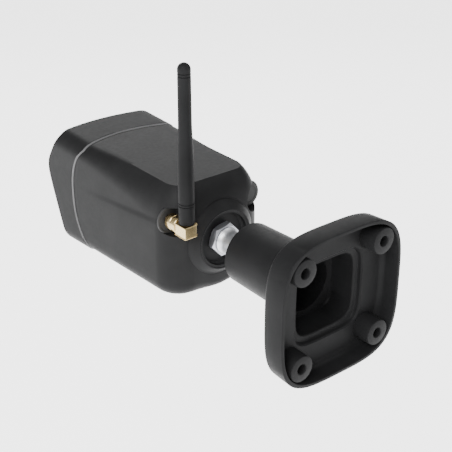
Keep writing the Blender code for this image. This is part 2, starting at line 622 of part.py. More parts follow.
# --- antenna and ports ------------------------------------------------------------------------
def make_antenna():
    centre = (PORT_X, PORT_Z)
    pivot = (PORT_X, ANTENNA_Y, PORT_Z)
    rear, front = ANTENNA_Y + ELBOW_Y / 2, ANTENNA_Y - ELBOW_Y / 2
    elbow = block("antenna_elbow", (PORT_X - ELBOW_X / 2, front, PORT_Z - ELBOW_Z / 2),
                  (PORT_X + ELBOW_X / 2, rear, PORT_Z + ELBOW_Z / 2), "gold plate", 0.0, pivot)
    half = 6.0  # of the square cutter, turned so that one flat takes the corner off
    corner = block("corner", (-half, -half, -10.0), (half, half, 10.0), "steel")
    reach = half / sqrt(2) - ELBOW_CORNER_CUT / 2
    place = Vector((PORT_X - ELBOW_X / 2 - reach, rear + reach, PORT_Z)) * MM
    corner.matrix_world = Matrix.Translation(place) @ Matrix.Rotation(radians(45), 4, "Z")
    cut(elbow, corner)
    cut(elbow, rod("core_way", 2.2, PORT_Z - 1.5, PORT_Z + 10.0, "steel", "Z", (PORT_X, ANTENNA_Y), 16),
        rod("pin_way", 3.0, front - 1.0, ANTENNA_Y - 1.5, "steel", centre=centre, sides=16))
    turned("antenna_coupling_nut", [(3.6, COUPLING_FRONT_Y), (COUPLING_R - 0.4, COUPLING_FRONT_Y),
                                    (COUPLING_R, COUPLING_FRONT_Y + 0.5), (COUPLING_R, front - 1.2),
                                    (COUPLING_R - 0.8, front - GAP), (2.6, front - GAP), (2.6, front - 1.6),
                                    (3.6, front - 1.6)], "gold plate", centre=centre, sides=20, pivot=pivot)
    foot, tip = PORT_Z + ELBOW_Z / 2 + GAP, SLEEVE_TIP_Z
    length = tip - foot
    dome = [(SLEEVE_TIP_R * cos(a), tip - 2.0 + 2.0 * sin(a)) for a in (0.0, pi / 6, pi / 3)]
    sleeve = [(2.6, foot), (SLEEVE_BASE_R - 0.3, foot), (SLEEVE_BASE_R, foot + 0.3)]
    sleeve += [(SLEEVE_BASE_R, foot + 0.34 * length), (SLEEVE_BASE_R - 0.25, foot + 0.42 * length),
               (SLEEVE_TIP_R + 0.25, foot + 0.6 * length), (SLEEVE_TIP_R, foot + 0.68 * length)] + dome
    sleeve += [(0.0, tip), (0.0, tip - 4.0), (2.0, tip - 4.0), (2.0, foot + 6.0), (2.6, foot + 5.0)]
    turned("antenna_sleeve", sleeve, "matte black plastic", "Z", (PORT_X, ANTENNA_Y), 20, pivot)
    element = [(0.0, PORT_Z - 1.2), (1.2, PORT_Z - 1.2), (1.2, foot + 30.0), (0.8, foot + 30.5),
               (0.8, tip - 5.0), (0.0, tip - 5.0)]
    turned("antenna_element", element, "steel", "Z", (PORT_X, ANTENNA_Y), 12, pivot)


def make_ports():
    centre = (PORT_X, PORT_Z)
    washer_front, washer_rear = PORT_FLOOR_Y + GAP, PORT_FLOOR_Y + 1.7
    tube("port_washer", PORT_R - GAP, JACK_R + 0.3, washer_front, washer_rear, "black rubber",
         centre=centre, sides=24)
    tip, root = ANTENNA_Y - ELBOW_Y / 2 - 2.2, PORT_BOSS_Y - 3.5
    jack = [(0.0, JACK_END_Y), (1.0, JACK_END_Y), (1.0, root), (JACK_R, root), (JACK_R, tip), (2.4, tip),
            (2.4, -110.0), (0.0, -110.0)]
    turned("antenna_jack", jack, "gold plate", centre=centre, sides=20)
    flats = [(x + PORT_X, z + PORT_Z) for x, z in hexagon(7.6)]
    nut = loft("jack_nut", [[(x, y, z) for x, z in flats] for y in (PORT_BOSS_Y - 2.3, PORT_BOSS_Y - GAP)],
               "gold plate")
    cut(nut, rod("nut_bore", JACK_R + 0.15, PORT_BOSS_Y - 5.0, PORT_BOSS_Y + 5.0, "steel",
                 centre=centre, sides=20))
    face = PORT_FLOOR_Y + 2.8
    plug = [(0.0, washer_front), (PORT_R - GAP, washer_front), (PORT_R - GAP, PORT_FLOOR_Y + 1.6),
            (PORT_R - 1.2, face - 0.9), (PORT_R - 2.6, face), (0.0, face)]
    turned("port_plug", plug, "black rubber", centre=(-PORT_X, PORT_Z), sides=24)


# --- optics -----------------------------------------------------------------------------------
def make_optics():
    tube("lens_holder", 9.5, 6.4, SENSOR_BOARD_Y - 19.0, SENSOR_BOARD_Y - 6.6, "matte black plastic",
         sides=20)
    barrel = [(4.6, -194.5), (6.1, -194.5), (6.1, -206.0), (LENS_R, -207.5), (LENS_R, LENS_FRONT_Y),
              (6.6, LENS_FRONT_Y), (6.1, -213.0), (4.6, -212.6)]
    turned("lens_barrel", barrel, "matte black plastic", sides=20)
    dome = [(5.7 * sin(a), -215.6 + 1.2 * (1 - cos(a)) * 2) for a in (0.0, pi / 6, pi / 3)]
    turned("lens_front_element", dome + [(5.7, -213.4), (0.0, -213.4)], "lens glass", sides=20)
    rod("lens_rear_element", 4.3, -198.5, -195.0, "lens glass", sides=20)
    front, rear = SENSOR_BOARD_Y - 6.3, SENSOR_BOARD_Y - GAP
    holder = block("ir_cut_housing", (-13.0, front, -9.0), (13.0, rear, 9.0), "matte black plastic", 0.5)
    cut(holder, rod("light_way", 5.3, front - 1.0, rear + 1.0, "steel", sides=24),
        block("slot", (-20.0, front + 1.7, -6.3), (10.7, front + 3.9, 6.3), "steel"))
    middle = -IR_CUT_TRAVEL / 2
    block("ir_cut_filter", (middle - 7.0, front + 2.1, -5.9), (middle + 7.0, front + 3.5, 5.9),
          "lens glass", 0.2)
    block("image_sensor", (-3.5, SENSOR_BOARD_Y - 1.2, -2.8), (3.5, SENSOR_BOARD_Y - GAP, 2.8), "chip", 0.1)


def make_boards():
    board = rounded_rect(20.0, 20.0, 2.0, 2)
    plate("sensor_board", board, SENSOR_BOARD_Y, SENSOR_BOARD_Y + BOARD_THICK, "circuit board")
    rear = MAIN_BOARD_Y + BOARD_THICK
    plate("main_board", rounded_rect(25.0, 26.0, 2.0, 2), MAIN_BOARD_Y, rear, "circuit board")
    low, high = SENSOR_BOARD_Y + BOARD_THICK + GAP, MAIN_BOARD_Y - GAP
    for number, at in enumerate([(x, z) for x in (-16.5, 16.5) for z in (-16.5, 16.5)], 1):
        tube(f"board_standoff_{number}", 2.4, 1.3, low, high, "gold plate", centre=at, sides=12)
    block("processor", (-7.0, rear + GAP, 3.0), (7.0, rear + 1.7, 17.0), "chip", 0.2)
    block("thermal_pad", (-7.5, rear + 2.0, 2.5), (7.5, rear + 3.0, 17.5), "white plastic")
    sink = block("heat_sink", (-13.0, rear + 3.3, -3.0), (13.0, rear + 13.0, 23.0), "aluminium")
    for fin in range(5):
        left = -10.6 + fin * 4.6
        cut(sink, block("gap", (left, rear + 5.6, -5.0), (left + 2.6, rear + 15.0, 25.0), "steel"))
    block("wifi_module", (-8.0, rear + GAP, -22.0), (8.0, rear + 2.6, -8.0), "steel", 0.3)
    face = LED_BOARD_Y
    led_board = plate("led_board", rounded_rect(24.3, 27.0, 4.0, 2), face, face + BOARD_THICK,
                      "circuit board")
    cut(led_board, rod("lens_way", LENS_R + 1.2, face - 2.0, face + 4.0, "steel", sides=24))
    lamp = [(0.0, face - GAP), (2.9, face - GAP), (2.9, face - 1.0), (2.5, face - 1.0)]
    lamp += [(2.5 * cos(a), face - 2.6 - 2.0 * sin(a)) for a in (0.0, pi / 6, pi / 3)] + [(0.0, face - 4.6)]
    for number, at in enumerate([(x, z) for x in (-17.0, 17.0) for z in (-8.5, 8.5)], 1):
        turned(f"ir_led_{number}", lamp, "lamp", centre=at, sides=10)
    rod("light_sensor", 1.5, face - 2.4, face - GAP, "chip", centre=(0.0, 21.0), sides=12)


def make_chassis():
    front, rear = CHASSIS_Y - 2.0, CHASSIS_Y - GAP
    chassis = plate("chassis_plate", rounded_rect(24.3, 28.0, 4.0, 2), front, rear, "aluminium")
    for side in (1, -1):
        join(chassis, block("tab", (side * 26.0 - 6.0, front, -4.5), (side * 26.0 + 6.0, rear, 4.5), "steel"))
    cut(chassis, rod("lens_way", LENS_R + 0.8, front - 1.0, rear + 1.0, "steel", sides=24))
    for side in (1, -1):
        at = (side * CHASSIS_SCREW_X, 0.0)
        cut(chassis, rod("screw_way", 1.5, front - 1.0, rear + 1.0, "steel", centre=at, sides=12))
        make_screw(f"chassis_screw_{'a' if side > 0 else 'b'}", at, front - GAP, front + 9.0, 2.6, 1.0)


def make_sound():
    cone_z = BOTTOM_FRONT + HOUSING_WALL + 1.2
    speaker = [(0.0, cone_z + 0.9), (6.0, cone_z + 0.3), (8.5, cone_z), (9.5, cone_z), (9.5, cone_z + 3.4),
               (6.5, cone_z + 4.2), (6.5, cone_z + 6.5), (0.0, cone_z + 6.5)]
    turned("speaker", speaker, "matte black plastic", "Z", (0.0, SPEAKER_Y), 24, (0.0, SPEAKER_Y, cone_z))
    rod("microphone", 3.0, LED_BOARD_Y - 2.6, LED_BOARD_Y - GAP, "steel", centre=(0.0, -20.0), sides=16)


# --- service hatch ----------------------------------------------------------------------------
def make_hatch():
    place = (0.0, HATCH_Y)
    outline = rounded_rect(HATCH_HALF_X, HATCH_HALF_Y, 3.0, 3)
    face, back = HATCH_FACE_Z, HATCH_FACE_Z + 1.7
    hatch = plate("service_hatch", outline, back, face, "matte black plastic", "Z", place)
    way = [(0.0, face - 2.0), (2.2, face - 2.0), (2.2, face + 0.8), (1.3, face + 0.8), (1.3, back + 2.0),
           (0.0, back + 2.0)]
    screw = [(0.0, face - 0.1), (1.9, face - 0.1), (1.9, face + 0.5), (0.85, face + 0.5),
             (0.85, back + 2.0), (0.0, back + 2.0)]
    for side, letter in ((1, "a"), (-1, "b")):
        at = (side * HATCH_SCREW_X, HATCH_Y)
        cut(hatch, turned("screw_way", way, "steel", "Z", at, 12))
        turned(f"hatch_screw_{letter}", screw, "steel", "Z", at, 10)
    seal_out = rounded_rect(HATCH_HALF_X - 5.3, HATCH_HALF_Y - 3.3, 2.0, 3)
    seal_in = rounded_rect(HATCH_HALF_X - 6.6, HATCH_HALF_Y - 4.6, 1.2, 3)
    low, high = back + GAP, back + 2.2
    rings = [[(u, v + HATCH_Y, z) for u, v in shape] for shape, z in
             ((seal_out, low), (seal_out, high), (seal_in, high), (seal_in, low))]
    loft("hatch_seal", rings, "black rubber", hollow=True)
    deck = back + 9.0
    block("service_board", (-13.0, HATCH_Y - 8.0, deck), (13.0, HATCH_Y + 8.0, deck + 1.2), "circuit board")
    socket = block("microsd_socket", (-12.0, HATCH_Y - 6.4, deck - 2.1), (2.5, HATCH_Y + 6.4, deck - GAP),
                   "steel", 0.2)
    cut(socket, block("card_way", (-30.0, HATCH_Y - 5.8, deck - 1.75), (1.7, HATCH_Y + 5.8, deck - 0.75),
                      "steel"))
    block("microsd_card", (-14.0, HATCH_Y - 5.5, deck - 1.6), (0.8, HATCH_Y + 5.5, deck - 0.9), "chip")
    switch = (8.0, HATCH_Y)
    tube("reset_switch", 2.8, 1.5, deck - 2.4, deck - GAP, "chip", "Z", switch, 16)
    rod("reset_button", 1.2, deck - 3.6, deck - 0.9, "white plastic", "Z", switch, 14, (*switch, deck - 3.6))


def smooth_path(route, steps):
    """Points on a Catmull-Rom curve through the route's own points."""
    ends = [route[0] * 2 - route[1]] + route + [route[-1] * 2 - route[-2]]
    points = []
    for a, b, c, d in zip(ends, ends[1:], ends[2:], ends[3:]):
        for step in range(steps):
            t = step / steps
            points.append(0.5 * (2 * b + (c - a) * t + (2 * a - 5 * b + 4 * c - d) * t ** 2
                                 + (3 * b - a - 3 * c + d) * t ** 3))
    return points + [route[-1]]


def make_coax():
    """RF lead from the antenna jack to the radio module, held inside the housing."""
    module_face = MAIN_BOARD_Y + BOARD_THICK + 2.6
    stops = ((PORT_X, JACK_END_Y - GAP, PORT_Z), (PORT_X, -134.0, PORT_Z), (28.0, -141.0, 9.0),
             (21.0, -148.0, -4.0), (10.0, -153.0, -12.5), (2.0, -157.0, -15.0),
             (0.0, module_face + GAP, -15.0))
    route = [Vector(stop) for stop in stops]
    points = smooth_path(route, 4)
    curve = bpy.data.curves.new("coax_pigtail", "CURVE")
    curve.dimensions = "3D"
    curve.bevel_depth = 0.7 * MM
    curve.bevel_resolution = 2
    curve.use_fill_caps = True
    spline = curve.splines.new("POLY")
    spline.points.add(len(points) - 1)
    for target, point in zip(spline.points, points):
        target.co = (*(point * MM), 1.0)
    curve.materials.append(material("black rubber"))
    obj = bpy.data.objects.new("coax_pigtail", curve)
    bpy.context.scene.collection.objects.link(obj)


if __name__ == "__main__":
    clear_scene()
    make_bracket_casting()
    make_ball_joint()
    make_rear_housing()
    make_front()
    make_chassis()
    make_optics()
    make_boards()
    make_sound()
    make_ports()
    make_antenna()
    make_hatch()
    make_coax()
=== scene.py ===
"""Finished look of an outdoor security camera on a hollow ball-joint wall bracket.

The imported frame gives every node, body and joint. The classes below model finer pieces over the visible
nodes and dress the rest. Lengths inside the classes are millimetres in the frame's own axes: +Z up, the lens
along -Y, the wall at y = 0 and the antenna on the +X side. Maker turns them into metres.
"""

import logging
from dataclasses import dataclass
from enum import Enum
from math import asin, acos, cos, hypot, pi, radians, sin, sqrt
from typing import Any, Callable, Optional, Sequence, Union

import bmesh
import bpy
from mathutils import Matrix, Vector


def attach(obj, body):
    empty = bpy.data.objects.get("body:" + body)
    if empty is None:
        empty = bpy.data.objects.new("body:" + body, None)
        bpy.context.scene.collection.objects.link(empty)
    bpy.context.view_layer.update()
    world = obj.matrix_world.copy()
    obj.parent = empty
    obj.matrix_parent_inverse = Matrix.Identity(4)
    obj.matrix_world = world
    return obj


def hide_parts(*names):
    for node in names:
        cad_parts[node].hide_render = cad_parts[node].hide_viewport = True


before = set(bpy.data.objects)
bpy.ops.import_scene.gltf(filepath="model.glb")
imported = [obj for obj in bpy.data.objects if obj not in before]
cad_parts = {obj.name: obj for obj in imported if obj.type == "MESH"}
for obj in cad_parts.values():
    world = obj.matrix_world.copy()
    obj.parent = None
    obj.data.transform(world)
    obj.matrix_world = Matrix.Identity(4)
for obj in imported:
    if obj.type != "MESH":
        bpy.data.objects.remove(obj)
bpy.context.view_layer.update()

MM = 0.001
LOG = logging.getLogger("security_camera")

Point = tuple[float, float, float]
Flat = tuple[float, float]
Colour = tuple[float, float, float]
Piece = bpy.types.Object


class Axis(Enum):
    """The axis that a turned or extruded piece runs along."""

    X = "X"
    Y = "Y"
    Z = "Z"

    def place(self, u: float, v: float, along: float) -> Point:
        """Put a flat point (u, v) and a height along the axis into the frame."""
        return {Axis.X: (along, u, v), Axis.Y: (u, along, v), Axis.Z: (u, v, along)}[self]


class Body(Enum):
    """The moving bodies of the frame that the pieces ride on."""

    BRACKET = "bracket"
    SEAT = "ball_seat"
    STUD = "ball_stud"
    CAMERA = "camera"
    ANTENNA = "antenna"
    COUPLING = "coupling_nut"


# --- sums used by every sub-assembly -----------------------------------------------------------------------
def mixed(low: float, high: float, amount: float) -> float:
    """The value a fraction of the way from low to high."""
    return low + (high - low) * amount


def ramp(value: float, start: float, end: float) -> float:
    """0 at start and 1 at end, held outside."""
    return min(max((value - start) / (end - start), 0.0), 1.0)


def soft_step(amount: float) -> float:
    """An S-shaped version of a 0 to 1 amount."""
    return amount * amount * (3.0 - 2.0 * amount)


def arc(centre: Flat, radius: float, start: float, end: float, steps: int) -> list[Flat]:
    """Points on a circular arc.

    Args:
        centre: middle of the arc.
        radius: its radius.
        start: first angle in degrees.
        end: last angle in degrees.
        steps: number of chords.

    Returns:
        steps + 1 flat points.
    """
    turns = [radians(mixed(start, end, i / steps)) for i in range(steps + 1)]
    return [(centre[0] + radius * cos(t), centre[1] + radius * sin(t)) for t in turns]


def filleted(points: Sequence[Flat], radii: Union[float, Sequence[float]], closed: bool = True,
             steps: int = 4) -> list[Flat]:
    """Round the corners of a flat outline or profile.

    Args:
        points: corner points in order.
        radii: one radius for all corners, or one for each.
        closed: whether the last point joins the first; an open line keeps its two ends.
        steps: chords in each rounding.

    Returns:
        The outline with an arc in place of each corner that has room for it.
    """
    count = len(points)
    sizes = [radii] * count if isinstance(radii, (int, float)) else list(radii)
    result: list[Flat] = []
    for i, (point, radius) in enumerate(zip(points, sizes)):
        here = Vector(point)
        if radius <= 0.0 or (not closed and i in (0, count - 1)):
            result.append(point)
            continue
        back, ahead = Vector(points[i - 1]) - here, Vector(points[(i + 1) % count]) - here
        room = min(back.length, ahead.length) * 0.49
        half = back.angle(ahead) / 2
        if half > pi / 2 - 0.02:
            result.append(point)
            continue
        reach = min(radius * cos(half) / sin(half), room)
        size = reach * sin(half) / cos(half)
        hub = here + (back.normalized() + ahead.normalized()).normalized() * (size / sin(half))
        first, last = here + back.normalized() * reach - hub, here + ahead.normalized() * reach - hub
        turn = first.angle_signed(last)
        for k in range(steps + 1):
            angle = -turn * k / steps
            result.append((hub.x + first.x * cos(angle) - first.y * sin(angle),
                           hub.y + first.x * sin(angle) + first.y * cos(angle)))
    return result


def rounded_rectangle(half_u: float, half_v: float, radius: float, steps: int = 8) -> list[Flat]:
    """Outline of a rectangle with round corners, about its own middle."""
    corners = [(half_u, half_v), (-half_u, half_v), (-half_u, -half_v), (half_u, -half_v)]
    return filleted(corners, radius, steps=steps)


class Maker:
    """Makes meshes with Blender's edit operators, from millimetres."""

    def deselect(self) -> None:
        """Leave edit mode's selection behind, so that an operator acts on the new piece only."""
        bpy.ops.object.select_all(action="DESELECT")

    def activate(self, piece: Piece) -> None:
        """Make a piece the only selected and active object."""
        self.deselect()
        piece.select_set(True)
        bpy.context.view_layer.objects.active = piece

    def loft(self, name: str, rings: Sequence[Sequence[Point]], hollow: bool = False,
             angle: float = 30.0) -> Piece:
        """Extrude a circle from ring to ring and close the result.

        Args:
            name: the piece's name.
            rings: rings of equal length.
            hollow: join the last ring to the first, for a piece with a wall, instead of capping the ends.
            angle: edges that turn by more than this many degrees stay sharp.

        Returns:
            The closed piece, its object at the origin.
        """
        self.deselect()
        bpy.ops.mesh.primitive_circle_add(vertices=len(rings[0]), radius=MM)
        piece = bpy.context.object
        piece.name = piece.data.name = name
        bpy.ops.object.mode_set(mode="EDIT")
        mesh = bmesh.from_edit_mesh(piece.data)
        mesh.verts.ensure_lookup_table()
        order = {tuple(vert.co): i for i, vert in enumerate(mesh.verts)}
        stations = list(rings) + ([rings[0]] if hollow else [])
        for number, ring in enumerate(stations):
            if number:
                bpy.ops.mesh.extrude_region_move()
                mesh = bmesh.from_edit_mesh(piece.data)
            moved = [(vert, order[tuple(vert.co)]) for vert in mesh.verts if vert.select]
            order = {}
            for vert, i in moved:
                vert.co = Vector(ring[i]) * MM
                order[tuple(vert.co)] = i
            bmesh.update_edit_mesh(piece.data)
        bpy.ops.mesh.select_all(action="SELECT")
        bpy.ops.mesh.remove_doubles(threshold=1e-7)
        if not hollow:
            bpy.ops.mesh.select_all(action="SELECT")
            bpy.ops.mesh.fill_holes(sides=0)
        bpy.ops.mesh.select_all(action="SELECT")
        bpy.ops.mesh.normals_make_consistent(inside=False)
        bpy.ops.object.mode_set(mode="OBJECT")
        bpy.ops.object.shade_smooth_by_angle(angle=radians(angle))
        return piece

    def turned(self, name: str, profile: Sequence[Flat], axis: Axis = Axis.Y, centre: Flat = (0.0, 0.0),
               sides: int = 72, hollow: bool = False, angle: float = 30.0) -> Piece:
        """Turn a profile of (radius, place along the axis) round an axis through centre."""
        rings = []
        for radius, along in profile:
            circle = [2 * pi * i / sides for i in range(sides)]
            rings.append([axis.place(centre[0] + radius * cos(t), centre[1] + radius * sin(t), along)
                          for t in circle])
        return self.loft(name, rings, hollow, angle)

    def prism(self, name: str, outline: Sequence[Flat], low: float, high: float, axis: Axis = Axis.Y,
              offset: Flat = (0.0, 0.0), edge: float = 0.0, angle: float = 30.0) -> Piece:
        """Extrude a flat outline between two places on an axis, with rounded end edges where edge is set."""
        reach = max(max(abs(u), abs(v)) for u, v in outline)
        ends = [(low, 1.0), (high, 1.0)]
        if edge:
            inset = edge / reach
            turns = [pi / 2 * k / 3 for k in range(4)]
            near = [(low + edge * (1 - sin(t)), 1 - inset * (1 - cos(t))) for t in turns]
            far = [(low + high - along, scale) for along, scale in reversed(near)]
            ends = near + far
        rings = [[axis.place(offset[0] + u * s, offset[1] + v * s, along) for u, v in outline]
                 for along, s in ends]
        return self.loft(name, rings, angle=angle)

    def block(self, name: str, low: Point, high: Point) -> Piece:
        """A cube scaled to two corners."""
        self.deselect()
        bpy.ops.mesh.primitive_cube_add(size=1.0)
        piece = bpy.context.object
        piece.name = piece.data.name = name
        middle = (Vector(low) + Vector(high)) / 2
        size = Vector(high) - Vector(low)
        piece.data.transform(Matrix.Translation(middle * MM) @ Matrix.Diagonal((*(size * MM), 1.0)))
        return piece

    def copies(self, piece: Piece, shifts: Sequence[Point]) -> list[Piece]:
        """Put one copy of a piece, with its own mesh, at each shift, and delete the piece itself."""
        made = []
        for shift in shifts:
            self.activate(piece)
            bpy.ops.object.duplicate(linked=False)
            twin = bpy.context.object
            twin.data.transform(Matrix.Translation(Vector(shift) * MM))
            made.append(twin)
        bpy.data.objects.remove(piece, do_unlink=True)
        return made

    def combine(self, target: Piece, tools: Sequence[Piece], operation: str) -> None:
        """Apply an exact Boolean of each tool to the target and delete the tools."""
        for tool in tools:
            self.activate(target)
            modifier = target.modifiers.new(operation.title(), "BOOLEAN")
            modifier.operation = operation
            modifier.solver = "EXACT"
            modifier.object = tool
            bpy.ops.object.modifier_apply(modifier=modifier.name)
            bpy.data.objects.remove(tool, do_unlink=True)

    def cut(self, target: Piece, *tools: Piece) -> None:
        """Take the tools out of the target."""
        self.combine(target, tools, "DIFFERENCE")

    def join(self, target: Piece, *tools: Piece) -> None:
        """Merge the tools into the target."""
        self.combine(target, tools, "UNION")

    def smooth(self, piece: Piece, angle: float = 30.0) -> None:
        """Shade smooth, with edges over the angle kept sharp."""
        self.activate(piece)
        bpy.ops.object.shade_smooth_by_angle(angle=radians(angle))


MAKER = Maker()


# --- node materials ----------------------------------------------------------------------------------------
@dataclass(frozen=True)
class Value:
    """A float socket; arithmetic on it adds Math nodes."""

    shader: "Shader"
    socket: bpy.types.NodeSocket

    def _math(self, operation: str, first: Any, second: Any) -> "Value":
        """Add one Math node."""
        return self.shader.node("ShaderNodeMath", {"operation": operation}, {0: first, 1: second})

    def __add__(self, other: Any) -> "Value":
        """self + other."""
        return self._math("ADD", self, other)

    def __radd__(self, other: Any) -> "Value":
        """other + self."""
        return self._math("ADD", other, self)

    def __sub__(self, other: Any) -> "Value":
        """self - other."""
        return self._math("SUBTRACT", self, other)

    def __rsub__(self, other: Any) -> "Value":
        """other - self."""
        return self._math("SUBTRACT", other, self)

    def __mul__(self, other: Any) -> "Value":
        """self * other."""
        return self._math("MULTIPLY", self, other)

    def __rmul__(self, other: Any) -> "Value":
        """other * self."""
        return self._math("MULTIPLY", other, self)


class Shader:
    """One material's node tree, round its Principled BSDF."""

    def __init__(self, name: str) -> None:
        """Start a new material with the default surface."""
        self.material = bpy.data.materials.new(name)
        self.material.use_nodes = True
        self.tree = self.material.node_tree
        self.surface = self.tree.nodes["Principled BSDF"]

    def node(self, kind: str, settings: Optional[dict[str, Any]] = None,
             inputs: Optional[dict[Union[int, str], Any]] = None, output: Union[int, str] = 0) -> Value:
        """Add a node.

        Args:
            kind: the node's type name.
            settings: its properties; "stops" holds a colour ramp's (position, colour) pairs.
            inputs: values or links for its sockets, by name or number.
            output: the output socket to return.

        Returns:
            The chosen output socket as a Value.
        """
        made = self.tree.nodes.new(kind)
        for key, value in (settings or {}).items():
            if key == "stops":
                for number, (position, colour) in enumerate(value):
                    stops = made.color_ramp.elements
                    stop = stops[number] if number < len(stops) else stops.new(position)
                    stop.position, stop.color = position, (*colour, 1.0)
            else:
                setattr(made, key, value)
        for key, value in (inputs or {}).items():
            self.feed(made.inputs[key], value)
        return Value(self, made.outputs[output])

    def feed(self, socket: bpy.types.NodeSocket, value: Any) -> None:
        """Link or set one input socket."""
        if isinstance(value, Value):
            self.tree.links.new(value.socket, socket)
        elif isinstance(value, tuple) and len(value) == 3 and socket.type == "RGBA":
            socket.default_value = (*value, 1.0)
        else:
            socket.default_value = value

    def place(self, scale: Point = (1.0, 1.0, 1.0), centre: Point = (0.0, 0.0, 0.0)) -> Value:
        """Object coordinates in millimetres about a centre, stretched by scale."""
        coordinates = self.node("ShaderNodeTexCoord", output="Object")
        size = tuple(s / MM for s in scale)
        shift = tuple(-c * s for c, s in zip(centre, scale))
        return self.node("ShaderNodeMapping", None, {"Vector": coordinates, "Location": shift, "Scale": size})

    def noise(self, per_mm: float, detail: float = 2.0, stretch: Point = (1.0, 1.0, 1.0)) -> Value:
        """Fractal noise with per_mm cells to the millimetre."""
        return self.node("ShaderNodeTexNoise", None, {"Vector": self.place(stretch), "Scale": per_mm,
                                                      "Detail": detail, "Roughness": 0.55})

    def cells(self, per_mm: float) -> Value:
        """Distance to the nearest of many scattered points, for a pebbled grain."""
        return self.node("ShaderNodeTexVoronoi", {"feature": "SMOOTH_F1"},
                         {"Vector": self.place(), "Scale": per_mm, "Smoothness": 0.6})

    def spread(self, value: Value, low: float, high: float, start: float = 0.3, end: float = 0.7) -> Value:
        """Map the middle of a pattern onto low to high."""
        return self.node("ShaderNodeMapRange", {"clamp": True},
                         {"Value": value, "From Min": start, "From Max": end, "To Min": low, "To Max": high})

    def blend(self, amount: Any, first: Any, second: Any) -> Value:
        """Mix two colours."""
        made = self.tree.nodes.new("ShaderNodeMix")
        made.data_type = "RGBA"
        for number, value in ((0, amount), (6, first), (7, second)):
            self.feed(made.inputs[number], value)
        return Value(self, made.outputs[2])

    def finish(self, colour: Any, roughness: Any, metallic: float = 0.0, relief: Optional[Value] = None,
               depth: float = 0.02, **constants: Any) -> bpy.types.Material:
        """Connect the surface.

        Args:
            colour: base colour, a constant or a Value.
            roughness: roughness, a constant or a Value.
            metallic: 0 for a dielectric, 1 for a metal.
            relief: height pattern from 0 to 1.
            depth: how high that pattern stands, in millimetres.
            constants: other sockets by name, with _ for a space.

        Returns:
            The finished material.
        """
        self.feed(self.surface.inputs["Base Color"], colour)
        self.feed(self.surface.inputs["Roughness"], roughness)
        self.surface.inputs["Metallic"].default_value = metallic
        for name, value in constants.items():
            self.surface.inputs[name.replace("_", " ")].default_value = value
        if relief is not None:
            bump = self.node("ShaderNodeBump", None, {"Height": relief, "Strength": 1.0,
                                                      "Distance": depth * MM})
            self.feed(self.surface.inputs["Normal"], bump)
        return self.material


@dataclass(frozen=True)
class SatinSkin:
    """Dark fine-textured skin of a moulding or a powder-coated casting."""

    name: str
    colour: Colour = (0.0135, 0.0136, 0.014)
    roughness: float = 0.42
    grain_per_mm: float = 3.2
    grain_depth: float = 0.006

    def material(self) -> bpy.types.Material:
        """Build the material: cloudy tone, pebbled relief and slightly uneven gloss."""
        shader = Shader(self.name)
        cloud = shader.noise(0.05, 3.0)
        lighter = tuple(c * 1.22 for c in self.colour)
        darker = tuple(c * 0.88 for c in self.colour)
        pebbles = shader.cells(self.grain_per_mm)
        tone = shader.blend(shader.spread(cloud, 0.0, 1.0), darker, lighter)
        fleck = shader.spread(shader.noise(self.grain_per_mm * 1.7), 0.0, 0.35, 0.45, 0.75)
        colour = shader.blend(fleck, tone, tuple(c * 1.5 for c in self.colour))
        gloss = shader.spread(shader.noise(0.4, 4.0), -0.04, 0.04) + self.roughness
        return shader.finish(colour, gloss, relief=pebbles, depth=self.grain_depth,
                             Specular_IOR_Level=0.05)


@dataclass(frozen=True)
class TurnedMetal:
    """Plated metal turned on a lathe, with fine rings across its axis."""

    name: str
    colour: Colour
    axis: Axis
    roughness: float = 0.22
    lines_per_mm: float = 5.0
    line_depth: float = 0.004

    def material(self) -> bpy.types.Material:
        """Build the material: tool rings, a little tarnish and a bright base."""
        shader = Shader(self.name)
        along = self.axis.place(0.02, 0.02, 1.0)
        rings = shader.noise(self.lines_per_mm, 3.0, along)
        tarnish = shader.spread(shader.noise(0.35, 4.0), 0.0, 1.0, 0.4, 0.75)
        dull = tuple(c * 0.72 for c in self.colour)
        colour = shader.blend(tarnish * 0.5, self.colour, dull)
        gloss = shader.spread(rings, -0.05, 0.06) + tarnish * 0.06 + self.roughness
        return shader.finish(colour, gloss, 1.0, rings, self.line_depth)


@dataclass(frozen=True)
class CastBrass:
    """Gold-plated brass with a grainy cast face."""

    name: str
    colour: Colour = (0.78, 0.61, 0.32)
    roughness: float = 0.30

    def material(self) -> bpy.types.Material:
        """Build the material: mottled plating over a fine sand texture."""
        shader = Shader(self.name)
        mottle = shader.spread(shader.noise(1.4, 5.0), 0.0, 1.0, 0.35, 0.7)
        colour = shader.blend(mottle, tuple(c * 0.78 for c in self.colour), self.colour)
        sand = shader.noise(9.0, 3.0)
        gloss = shader.spread(sand, -0.06, 0.08) + self.roughness
        return shader.finish(colour, gloss, 1.0, sand, 0.008)


@dataclass(frozen=True)
class SoftRubber:
    """Black or coloured rubber with a dry bloom."""

    name: str
    colour: Colour = (0.003, 0.003, 0.0032)

    def material(self) -> bpy.types.Material:
        """Build the material: fine pores and a faint bloom."""
        shader = Shader(self.name)
        pores = shader.noise(4.0, 3.0)
        bloom = shader.spread(shader.noise(0.6, 3.0), 0.0, 0.5)
        colour = shader.blend(bloom, self.colour, tuple(c * 1.5 for c in self.colour))
        return shader.finish(colour, shader.spread(pores, 0.62, 0.78), relief=pores, depth=0.01,
                             Specular_IOR_Level=0.02)


